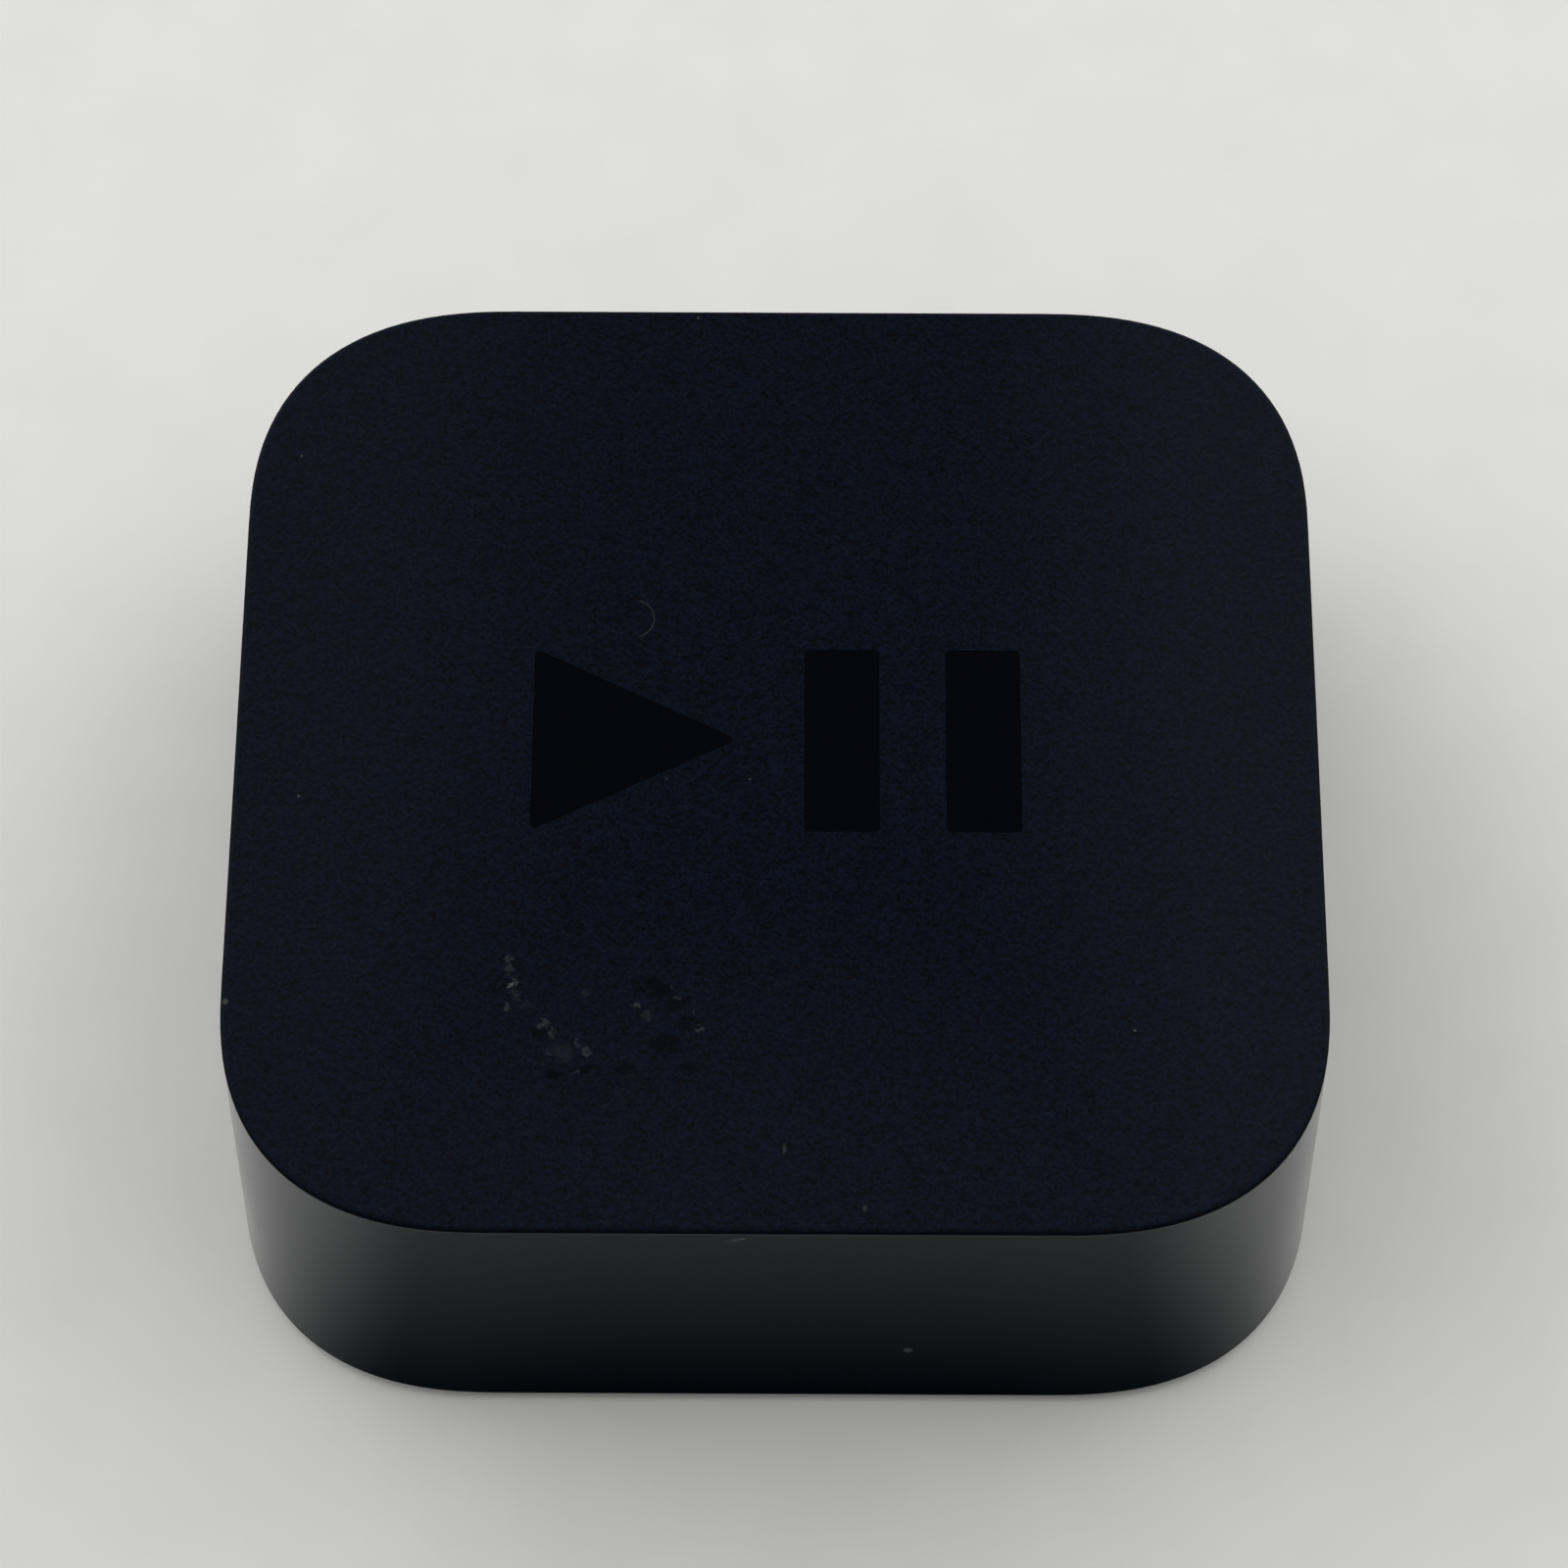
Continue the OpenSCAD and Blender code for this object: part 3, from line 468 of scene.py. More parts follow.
def make_settled_dust():
    """Dust: a small speck round the point of some Voronoi cells, only where the face looks up."""
    group, given, out = new_group(
        "settled_dust",
        [("Cells per Metre", "Float", 100), ("Speck Size", "Float", 0.02)],
        [("Mask", "Float")])
    place = node_in(group, "ShaderNodeTexCoord", (-900, 300))
    cells = node_in(group, "ShaderNodeTexVoronoi", (-650, 200))
    chosen = node_in(group, "ShaderNodeSeparateColor", (-400, 0))
    speck = number(group, "SUBTRACT", (given, "Speck Size"), (cells, "Distance"))
    speck = stepped(group, speck, 0, 0.008)
    some = stepped(group, (chosen, "Red"), 0.62, 0.7, kind="LINEAR")
    facing = node_in(group, "ShaderNodeNewGeometry", (-650, -300))
    turned_up = node_in(group, "ShaderNodeSeparateXYZ", (-400, -300))
    up = stepped(group, (turned_up, "Z"), 0.5, 0.8)
    mask = number(group, "MULTIPLY", number(group, "MULTIPLY", speck, some), up)
    wire(group,
         ((place, "Object"), (cells, "Vector")), ((given, "Cells per Metre"), (cells, "Scale")),
         ((cells, "Color"), (chosen, "Color")), ((facing, "Normal"), (turned_up, "Vector")),
         (mask, (out, "Mask")))
    return group


settled_dust = make_settled_dust()
TOP_BLACK = (0.0013, 0.0027, 0.0078)
# The lighter navy of the top's painted sheen
PAINTED_SHEEN_NAVY = (0.0050, 0.0068, 0.0128, 1)
DUST_GREY = (0.05, 0.053, 0.056, 1)
RUBBED_GREY = (0.05, 0.055, 0.062, 1)

# The top: a fine navy spark texture, rubbed at its front left, with a few specks of dust and one hair, a
# painted sheen towards its sides and front, and painted shade along its rim
casing_top, tree, shader, grain = grained(
    "casing_top_spark_texture", TOP_BLACK, (0.59, 0.63), 0.36, 0.018, 0.98, Specular_IOR_Level=0.03)
place = node_in(tree, "ShaderNodeTexCoord", (-1500, 400))


def spots(tree, place, marks):
    """The strongest of several soft ovals, each (x, y, half width, half length, strength), in millimetres."""
    strongest = None
    for x, y, half_w, half_l, strength in marks:
        local = node_in(tree, "ShaderNodeVectorMath", operation="MULTIPLY_ADD")
        local.inputs[1].default_value = (1 / (half_w * MM), 1 / (half_l * MM), 0)
        local.inputs[2].default_value = (-x / half_w, -y / half_l, 0)
        distance = node_in(tree, "ShaderNodeVectorMath", operation="LENGTH")
        wire(tree, (place, (local, 0)), ((local, "Vector"), (distance, 0)))
        oval = stepped(tree, (distance, "Value"), 0.35, 1, strength, 0)
        strongest = oval if strongest is None else number(tree, "MAXIMUM", strongest, oval)
    return strongest


RUBBED_SPOTS = [
    (-23.6, -21.8, 0.3, 0.6, 0.28), (-23.6, -22.8, 0.35, 0.7, 0.24), (-23.2, -23.7, 0.4, 0.5, 0.28),
    (-23.3, -24.4, 0.42, 0.4, 1), (-22.9, -25.3, 0.6, 0.7, 0.17), (-23.7, -26.8, 0.45, 0.5, 0.35),
    (-21.9, -26.6, 0.9, 0.6, 0.08), (-20.4, -28.4, 0.5, 0.6, 0.35), (-19.6, -29.3, 0.45, 0.6, 0.28),
    (-18.7, -31.3, 1.3, 1.2, 0.1), (-19.8, -31.4, 0.35, 0.6, 0.24), (-17.2, -30.3, 0.35, 0.7, 0.24),
    (-16.6, -31.3, 0.45, 0.4, 0.32), (-17.3, -33.3, 0.4, 0.4, 0.21), (-16.9, -25.2, 0.4, 0.6, 0.14),
    (-12.2, -26.4, 0.45, 0.5, 0.42), (-11.3, -27.5, 0.5, 0.6, 0.17), (-9.1, -24.6, 0.4, 0.35, 0.21),
    (-8.5, -25.6, 0.35, 0.5, 0.21), (-7.3, -27.1, 0.3, 0.5, 0.28), (-6.7, -28.8, 0.5, 0.35, 0.35)]
DARKER_BLOTCHES = [
    (-11, -24, 1.1, 0.7, 0.9), (-12.1, -25, 0.6, 0.6, 0.8), (-20.9, -29.4, 1, 0.7, 0.8),
    (-19.3, -33.5, 1.4, 0.7, 1), (-16.5, -32.9, 1.8, 0.6, 0.9), (-13.2, -32.8, 1.1, 0.6, 0.8),
    (-9.6, -30.3, 1.9, 1.4, 0.75), (-7.9, -28.2, 0.8, 1, 0.8), (-7.4, -32.9, 1.2, 0.8, 0.6),
    (-10, -25, 1.6, 1.1, 0.85), (-8.7, -26.3, 1.3, 1.2, 0.8)]
DUST_SPECKS = [(-43, -5, 0.2, 0.2, 0.9), (-44.4, 32.1, 0.18, 0.2, 0.8), (-7.7, 48.1, 0.2, 0.2, 0.8),
               (31.7, -28.8, 0.22, 0.18, 0.9), (0.9, -40.8, 0.22, 0.7, 0.4), (7.9, -46.6, 0.3, 0.45, 0.4),
               (19.8, 10.8, 0.16, 0.16, 0.6), (-2.4, -3, 0.16, 0.16, 0.6), (-9.9, -3, 0.14, 0.14, 0.6),
               (-48.5, -26.3, 0.35, 0.4, 0.9)]
# Noise moves the edges of the rubbed spots and the blotches by up to this much either way, in metres
STRAY = 0.001
broken = node_in(tree, "ShaderNodeTexNoise")
broken.inputs["Scale"].default_value = 1300
broken.inputs["Detail"].default_value = 3
strayed = node_in(tree, "ShaderNodeVectorMath", operation="MULTIPLY_ADD")
strayed.inputs[1].default_value = (2 * STRAY, 2 * STRAY, 0)
centred = node_in(tree, "ShaderNodeVectorMath", operation="SUBTRACT")
centred.inputs[1].default_value = (STRAY, STRAY, 0)
wire(tree, ((place, "Object"), (broken, "Vector")), ((broken, "Color"), (strayed, 0)),
     ((place, "Object"), (centred, 0)), ((centred, "Vector"), (strayed, 2)))
rubbed = spots(tree, (strayed, "Vector"), RUBBED_SPOTS)
blotch_and_painted_rim_shade = spots(tree, (strayed, "Vector"), DARKER_BLOTCHES)
top_parts = node_in(tree, "ShaderNodeSeparateXYZ")
wire(tree, ((place, "Object"), (top_parts, 0)))
# Painted shade: the colour darkens down the rounded rim below the flat top, standing in for the dark line the
# rim mirrors; it joins the darker blotches
rim = stepped(tree, (top_parts, "Z"), (BODY_H - 0.2) * MM, (BODY_H - 0.01) * MM, 0.8, 0)
blotch_and_painted_rim_shade = number(tree, "MAXIMUM", blotch_and_painted_rim_shade, rim)
dust = node_in(tree, "ShaderNodeGroup")
dust.node_tree = settled_dust
dust.inputs["Cells per Metre"].default_value = 130
dust.inputs["Speck Size"].default_value = 0.013
fine_dust = number(tree, "MULTIPLY", (dust, "Mask"), 0.35)
specks = number(tree, "MAXIMUM", spots(tree, (place, "Object"), DUST_SPECKS), fine_dust)

# The hair is the right-hand arc of a small circle
HAIR_MIDDLE = (-13.4, 14.2)
HAIR_R = 2.1
from_hair = node_in(tree, "ShaderNodeVectorMath", operation="MULTIPLY_ADD")
from_hair.inputs[1].default_value = (1 / MM, 1 / MM, 0)
from_hair.inputs[2].default_value = (-HAIR_MIDDLE[0], -HAIR_MIDDLE[1], 0)
hair_radius = node_in(tree, "ShaderNodeVectorMath", operation="LENGTH")
hair_parts = node_in(tree, "ShaderNodeSeparateXYZ")
wire(tree, ((place, "Object"), (from_hair, 0)), ((from_hair, "Vector"), (hair_radius, 0)),
     ((from_hair, "Vector"), (hair_parts, 0)))
off_line = number(tree, "ABSOLUTE", number(tree, "SUBTRACT", (hair_radius, "Value"), HAIR_R))
on_arc = stepped(tree, (hair_parts, "X"), 0.6, 0.9)
hair = number(tree, "MULTIPLY", stepped(tree, off_line, 0.02, 0.09, 0.45, 0), on_arc)
specks = number(tree, "MAXIMUM", specks, hair)

# Painted sheen: a faint lighter navy is added to the colour, more on the right, left and front than in the
# middle, standing in for a soft reflection of the light
painted_sheen = number(tree, "MAXIMUM", stepped(tree, (top_parts, "X"), 0.012, 0.044),
              number(tree, "MAXIMUM", stepped(tree, (top_parts, "X"), -0.044, -0.012, 0.6, 0),
                     stepped(tree, (top_parts, "Y"), -0.044, -0.012, 0.5, 0)))
painted_sheen_mix = node_in(tree, "ShaderNodeMix", data_type="RGBA", blend_type="ADD")
painted_sheen_mix.inputs["B"].default_value = tuple(h - c for h, c in zip(PAINTED_SHEEN_NAVY, TOP_BLACK)) + (1,)
wire(tree, ((grain, "Color"), (painted_sheen_mix, "A")), (painted_sheen, (painted_sheen_mix, "Factor")))

# The darker blotches and the painted rim shade take the colour down, the rubbed spots lighten it, and dust
# turns it grey
darker = node_in(tree, "ShaderNodeMix", data_type="RGBA")
darker.inputs["B"].default_value = (*(0.35 * c for c in TOP_BLACK), 1)
lighter = node_in(tree, "ShaderNodeMix", data_type="RGBA")
lighter.inputs["B"].default_value = RUBBED_GREY
dusty = node_in(tree, "ShaderNodeMix", data_type="RGBA")
dusty.inputs["B"].default_value = DUST_GREY
wire(tree, ((painted_sheen_mix, "Result"), (darker, "A")), (blotch_and_painted_rim_shade, (darker, "Factor")),
     ((darker, "Result"), (lighter, "A")), (rubbed, (lighter, "Factor")),
     ((lighter, "Result"), (dusty, "A")), (specks, (dusty, "Factor")),
     ((dusty, "Result"), (shader, "Base Color")))

# The wall: satin, with a fine grain drawn out a little upright, and dust where it looks up
casing_wall, tree, shader, grain = grained(
    "casing_wall_satin", (0.0006, 0.003, 0.007), (0.13, 0.17), 0.4, 0.0024, 0.6, (1, 1, 0.6),
    Specular_IOR_Level=0.55)
dust = node_in(tree, "ShaderNodeGroup")
dust.node_tree = settled_dust
dust.inputs["Cells per Metre"].default_value = 200
dust.inputs["Speck Size"].default_value = 0.02
dusty = node_in(tree, "ShaderNodeMix", data_type="RGBA")
dusty.inputs["B"].default_value = DUST_GREY
# A tiny chip lies just under the front edge, in a stroke of three short dabs
place = node_in(tree, "ShaderNodeTexCoord")
wall_parts = node_in(tree, "ShaderNodeSeparateXYZ")
on_wall = node_in(tree, "ShaderNodeCombineXYZ")
wire(tree, ((place, "Object"), (wall_parts, 0)), ((wall_parts, "X"), (on_wall, "X")),
     ((wall_parts, "Z"), (on_wall, "Y")))
CHIP_DABS = [(-2.7, 31.8, 0.55, 0.3, 0.9), (-3.3, 31.55, 0.5, 0.28, 0.7), (-3.9, 31.35, 0.4, 0.22, 0.4)]
at_front = stepped(tree, (wall_parts, "Y"), -0.03, -0.02, 1, 0)
chip = number(tree, "MULTIPLY", spots(tree, (on_wall, "Vector"), CHIP_DABS), at_front)
marks = number(tree, "MAXIMUM", (dust, "Mask"), chip)
wire(tree, ((grain, "Color"), (dusty, "A")), (marks, (dusty, "Factor")),
     ((dusty, "Result"), (shader, "Base Color")))
mark_polish, *_ = grained("mark_polished", (0.0012, 0.0014, 0.0032), (0.035, 0.07), 0.15, 0.0002, 0.3,
                          Specular_IOR_Level=0.25)
inside_black, *_ = grained("casing_inside", (0.010, 0.011, 0.013), (0.42, 0.55), 0.4, 0.01)

casing = made_piece("casing", points * MM, faces,
                    [casing_top, casing_wall, inside_black, mark_polish], slot_of)
cutter = made_piece("cutter", cut_points * MM, cut_faces, [casing_wall, inside_black, mark_polish],
                    [2 if np.mean(cut_points[list(f), 2]) > BODY_H - 1 else 1 for f in cut_faces])


def cut_away(piece, tool):
    """Takes the tool's solid out of the piece and removes the tool; new faces keep the tool's materials."""
    cut = piece.modifiers.new("cut", "BOOLEAN")
    cut.operation = "DIFFERENCE"
    cut.solver = "EXACT"
    cut.material_mode = "TRANSFER"
    cut.object = tool
    bpy.context.view_layer.update()
    done = bpy.data.meshes.new_from_object(piece.evaluated_get(bpy.context.evaluated_depsgraph_get()))
    piece.modifiers.clear()
    piece.data = done
    bpy.data.objects.remove(tool)


cut_away(casing, cutter)


def round_edges(piece, chosen, width, segments=2, smooth=30):
    """Rounds by width, in metres, the edges that chosen(middle of the edge, turn in degrees) picks."""
    shape = bmesh.new()
    shape.from_mesh(piece.data)
    picked = []
    for edge in shape.edges:
        if len(edge.link_faces) == 2:
            midpoint = (edge.verts[0].co + edge.verts[1].co) / 2
            if chosen(midpoint, np.degrees(edge.calc_face_angle(0))):
                picked.append(edge)
    bmesh.ops.bevel(shape, geom=picked, offset=width, segments=segments, profile=0.5, affect="EDGES",
                    clamp_overlap=True)
    shape.to_mesh(piece.data)
    shape.free()
    piece.data.shade_smooth()
    piece.data.set_sharp_from_angle(angle=radians(smooth))


# The rims of the openings in the rear wall are rounded a little
RIM_Y = (BODY_W / 2 - 1.6) * MM
RIM_LOW, RIM_HIGH = 5 * MM, 22 * MM
round_edges(casing, lambda m, turn: m.y > RIM_Y and turn > 55 and RIM_LOW < m.z < RIM_HIGH, 0.16 * MM, 2, 40)


def skin(rings, looped=False):
    """A closed surface through rings of points, given as (rows, sides, 3). Each end closes to its own middle,
    or the last ring joins the first where looped is true."""
    rings = np.asarray(rings, float)
    rows, sides = rings.shape[:2]
    k, i = np.meshgrid(np.arange(rows if looped else rows - 1), np.arange(sides), indexing="ij")
    j = (i + 1) % sides
    n = (k + 1) % rows
    quads = np.stack([k * sides + i, k * sides + j, n * sides + j, n * sides + i], -1).reshape(-1, 4)
    if looped:
        return rings.reshape(-1, 3), [*map(tuple, quads)]
    i = np.arange(sides)
    j = (i + 1) % sides
    start = np.stack([np.full(sides, rows * sides), j, i], 1)
    end = np.stack([np.full(sides, rows * sides + 1), (rows - 1) * sides + i, (rows - 1) * sides + j], 1)
    caps = np.stack([rings[0].mean(0), rings[-1].mean(0)])
    whole = [*map(tuple, quads), *map(tuple, start), *map(tuple, end)]
    return np.concatenate([rings.reshape(-1, 3), caps]), whole


AXES = {
    "x": np.array([[0, 1, 0], [0, 0, 1], [1, 0, 0]]),
    "y": np.array([[0, 0, 1], [1, 0, 0], [0, 1, 0]]),
    "z": np.eye(3),
    "-z": np.diag([1, -1, -1])}


def turned(profile, at=(0, 0, 0), axis="z", sides=40, looped=False):
    """A profile of (radius, height) carried round an axis: radius times cosine and sine, and the height."""
    radius, height = np.array(profile, float).T
    a = np.arange(sides) * 2 * pi / sides
    heights = np.repeat(height[:, None], sides, 1)
    rings = np.stack([np.outer(radius, np.cos(a)), np.outer(radius, np.sin(a)), heights], -1)
    return skin(rings @ AXES[axis] + np.array(at, float), looped)


# Inside: the screw bosses of the heat sink and of the power board, their ribs, and the front board's rails
SINK_HOLES = [(38, -24), (-38, -24), (-40, 16), (40, 14)]
POWER_HOLES = [(30, -34), (-30, -34), (-30, 22), (30, 22)]
SUNK = 0.4                              # how far bosses, ribs and rails run into the wall they stand on
RIB_LOW = 28
RAIL_Z = (7, 16.5)
RAIL_BACK = -43
inside = []
for holes, boss_r, low, hole_r, hole_top in ((SINK_HOLES, 3.2, board_top, 1.25, board_top + 9),
                                             (POWER_HOLES, 2.8, power_top, 1.05, power_top + 6)):
    for x, y in holes:
        inside.append(turned([
            (hole_r, hole_top), (hole_r, low + 0.3), (hole_r + 0.3, low), (boss_r - 0.25, low),
            (boss_r, low + 0.25), (boss_r, CEILING_Z - 0.5), (boss_r + 0.35, CEILING_Z),
            (boss_r + 0.35, CEILING_Z + SUNK)], (x, y, 0)))
for x, y in SINK_HOLES:
    reach = (x + 3, INNER_W / 2 + SUNK) if x > 0 else (-INNER_W / 2 - SUNK, x - 3)
    inside.append(prism(np.array(box_plan(reach, (y - 0.6, y + 0.6))), RIB_LOW, CEILING_Z + SUNK))
front_low, front_high = span("front_board")
for x, towards in ((front_low[0], 1), (front_high[0], -1)):
    slot_y = (front_low[1] - 0.1, front_high[1] + 0.1)
    edge, back = x - towards * 0.1, x - towards * 2
    channel = [(back, -INNER_W / 2 - SUNK), (x, -INNER_W / 2 - SUNK), (x, slot_y[0]), (edge, slot_y[0]),
               (edge, slot_y[1]), (x, slot_y[1]), (x, RAIL_BACK), (back, RAIL_BACK)]
    inside.append(prism(np.array(channel if towards > 0 else channel[::-1]), *RAIL_Z))
inside_points, inside_faces = joined(*inside)
bosses = made_piece("casing_bosses", inside_points * MM, inside_faces, [inside_black])


def joined_into(piece, more):
    """Makes one mesh object of two; the second keeps its own materials."""
    both = [piece, more]
    with bpy.context.temp_override(active_object=piece, object=piece, selected_objects=both,
                                   selected_editable_objects=both):
        bpy.ops.object.join()


joined_into(casing, bosses)


def evenly_shaded(piece):
    """Lets each large flat face set the shading at its corners, so that rounded edges do not darken it."""
    shading = piece.modifiers.new("even_shading", "WEIGHTED_NORMAL")
    shading.keep_sharp = True
    shading.weight = 100


evenly_shaded(casing)
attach(casing, "player")
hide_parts("top_casing")


# ---------- base cover ----------
# The black moulded plate that closes the underside. Its middle is the pad that the player stands on; the
# flange round it fills the casing's mouth, and eight clips on the upright rim snap behind the wall.

RIM_Z = span("base_cover")[1][2]
PAD_Z = 1.6
FLANGE_Z = 3
PAD_INSET = 3
FLANGE_INSET = 1.5
RIM_INSET = 2.5
RIM_T = 1.2
PAD_EDGE = 0.8
cover_rows = [
    (PAD_INSET + 6, 0.12), (PAD_INSET + 5.9, 0.12), (PAD_INSET + 5.75, 0), (PAD_INSET + 2.4, 0),
    (PAD_INSET + 2.3, 0), (PAD_INSET + PAD_EDGE + 0.06, 0),
    *quarter_turn((PAD_INSET + PAD_EDGE, PAD_EDGE), PAD_EDGE, 270, 180, 6),
    (PAD_INSET, PAD_Z - 0.1), (PAD_INSET - 0.1, PAD_Z), (FLANGE_INSET + 0.25, PAD_Z),
    *quarter_turn((FLANGE_INSET + 0.2, PAD_Z + 0.2), 0.2, 270, 180, 3), (FLANGE_INSET, FLANGE_Z - 0.15),
    (FLANGE_INSET + 0.15, FLANGE_Z), (RIM_INSET - 0.15, FLANGE_Z), (RIM_INSET, FLANGE_Z + 0.15),
    (RIM_INSET, RIM_Z - 0.3), (RIM_INSET + 0.3, RIM_Z), (RIM_INSET + RIM_T - 0.15, RIM_Z),
    (RIM_INSET + RIM_T, RIM_Z - 0.15), (RIM_INSET + RIM_T, FLANGE_Z + 0.3),
    (RIM_INSET + RIM_T + 0.3, FLANGE_Z)]
cover_points, cover_quads, cover_row, around = carried_round(cover_rows)
last = (len(cover_rows) - 1) * around
cover_faces = [tuple(range(around - 1, -1, -1)), tuple(last + i for i in range(around)),
               *map(tuple, cover_quads[:, ::-1])]
PAD_ROWS = 14
cover_slots = [0, 1, *np.where(cover_row < PAD_ROWS, 0, 1)]
half = BODY_W / 2 - RIM_INSET
clip_profile = np.array([
    (half - 0.3, RIM_Z - 1.5), (half + 0.25, RIM_Z - 1.32), (half + 0.35, RIM_Z - 1.2),
    (half + 0.35, RIM_Z - 0.95), (half + 0.05, RIM_Z - 0.05), (half - 0.3, RIM_Z - 0.02)])
extra = [spun(prism(clip_profile, side - CLIP_W / 2, side + CLIP_W / 2, (1, 2, 0)), turn)
         for side, turn in CLIP_PLACES]
RIB_REACH = 44.8
for s in np.arange(-30, 31, 15):
    for axes in ((1, 2, 0), (0, 2, 1)):
        rib = np.array([(s - 0.5, FLANGE_Z - 0.2), (s + 0.5, FLANGE_Z - 0.2), (s + 0.42, FLANGE_Z + 0.5),
                        (s - 0.42, FLANGE_Z + 0.5)])
        extra.append(prism(rib, -RIB_REACH, RIB_REACH, axes))
extra_points, extra_faces = joined(*extra)
cover_points, cover_faces = joined((cover_points, cover_faces), (extra_points, extra_faces))
base_pad, *_ = grained("base_pad_matt_rubber", (0.009, 0.0095, 0.0105), (0.64, 0.7), 0.35, 0.015, 0.3,
                       Specular_IOR_Level=0.3)
base_satin, *_ = grained("base_cover_satin", (0.008, 0.0085, 0.01), (0.37, 0.42), 0.5, 0.004, 0.25)
cover = made_piece("base_cover_made", cover_points * MM, cover_faces, [base_pad, base_satin],
                   cover_slots + [1] * len(extra_faces))
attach(cover, "base")
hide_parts("base_cover")


# ---------- status light ----------
# A clear acrylic light pipe: a thin pin that ends behind a hole in the front wall, with a flange glued
# inside. The LED on the front board shines into the flange, and the pin's end is frosted.

pipe_low, pipe_high = span("status_light_pipe")
FLANGE_R = (pipe_high[0] - pipe_low[0]) / 2
PIN_R = 0.45
pin_start, pin_end = pipe_low[1], pipe_high[1]
flange_start = pin_end - 1.5
pipe_shape = turned([
    (0.2, pin_start), (0.38, pin_start + 0.04), (PIN_R, pin_start + 0.12), (PIN_R, flange_start - 0.05),
    (PIN_R + 0.1, flange_start), (FLANGE_R - 0.1, flange_start), (FLANGE_R, flange_start + 0.1),
    (FLANGE_R, pin_end - 0.1), (FLANGE_R - 0.1, pin_end)], (LIGHT_X, 0, LIGHT_Z), "y", 32)
smoked_acrylic, *_ = grained("light_pipe_acrylic", (0.2, 0.21, 0.22), (0.28, 0.42), 0.12, 0.002, 0.2,
                             Transmission_Weight=0.75, IOR=1.49)
light_pipe = made_piece("status_light_pipe_made", pipe_shape[0] * MM, pipe_shape[1], [smoked_acrylic])
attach(light_pipe, "player")
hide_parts("status_light_pipe")


# ---------- rear sockets ----------
# Drawn sheet-metal shells with black tongues and gold contacts for video and service, a moulded network
# jack in a steel shield, and the power inlet with its two nickel pins. The inlet is on the power board and
# the others on the main board.

def eased_copy(node, edge, materials, body="player", pick=None):
    """The named piece with its triangles joined into whole faces and its edges rounded by edge, in mm.
    pick gives each face's material from the faces' middles, in mm."""
    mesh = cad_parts[node].data.copy()
    mesh.name = node + "_made"
    shape = bmesh.new()
    shape.from_mesh(mesh)
    bmesh.ops.remove_doubles(shape, verts=shape.verts, dist=2e-6)
    bmesh.ops.dissolve_limit(shape, angle_limit=radians(1), verts=shape.verts, edges=shape.edges)
    shape.to_mesh(mesh)
    shape.free()
    mesh.materials.clear()
    for m in materials:
        mesh.materials.append(m)
    if pick is not None:
        centres = np.empty(len(mesh.polygons) * 3)
        mesh.polygons.foreach_get("center", centres)
        chosen = np.asarray(pick(centres.reshape(-1, 3) / MM), dtype=np.int32)
        mesh.polygons.foreach_set("material_index", chosen)
    mesh.shade_smooth()
    mesh.set_sharp_from_angle(angle=radians(30))
    piece = bpy.data.objects.new(node + "_made", mesh)
    bpy.context.scene.collection.objects.link(piece)
    if edge:
        ease = piece.modifiers.new("eased_edges", "BEVEL")
        ease.width = edge * MM
        ease.segments = 2
        ease.limit_method = "ANGLE"
        ease.angle_limit = radians(35)
        evenly_shaded(piece)
    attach(piece, body)
    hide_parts(node)
    return piece


def finished(node, material):
    """Gives a piece that keeps its designed shape its material."""
    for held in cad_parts[node].material_slots:
        held.material = material


tinned_steel, *_ = grained("tinned_steel", (0.46, 0.46, 0.45), (0.26, 0.42), 0.25, 0.001, 0.12, (1, 0.12, 1),
                           Metallic=1)
socket_black, *_ = grained("socket_black_nylon", (0.012, 0.012, 0.013), (0.38, 0.52), 0.2, 0.003, 0.3)
gold_plate, *_ = grained("gold_plate", (0.86, 0.6, 0.24), (0.2, 0.34), 0.1, 0.0005, 0.12, Metallic=1)
jack_black, *_ = grained("jack_black_polyester", (0.014, 0.014, 0.016), (0.42, 0.58), 0.3, 0.005, 0.3)
inlet_black, *_ = grained("inlet_black_polyamide", (0.011, 0.011, 0.012), (0.35, 0.5), 0.35, 0.006, 0.3)
nickel, *_ = grained("nickel_plate", (0.62, 0.6, 0.56), (0.16, 0.28), 0.15, 0.0006, 0.1, (1, 0.1, 1),
                     Metallic=1)

for socket in ("video_socket", "service_socket"):
    eased_copy(socket + "_shell", 0.08, [tinned_steel])
    eased_copy(socket + "_tongue", 0.1, [socket_black])
    finished(socket + "_contacts", gold_plate)
eased_copy("network_jack", 0.18, [jack_black])
eased_copy("network_jack_shield", 0.1, [tinned_steel])
finished("network_jack_contacts", gold_plate)
eased_copy("power_inlet", 0.22, [inlet_black])

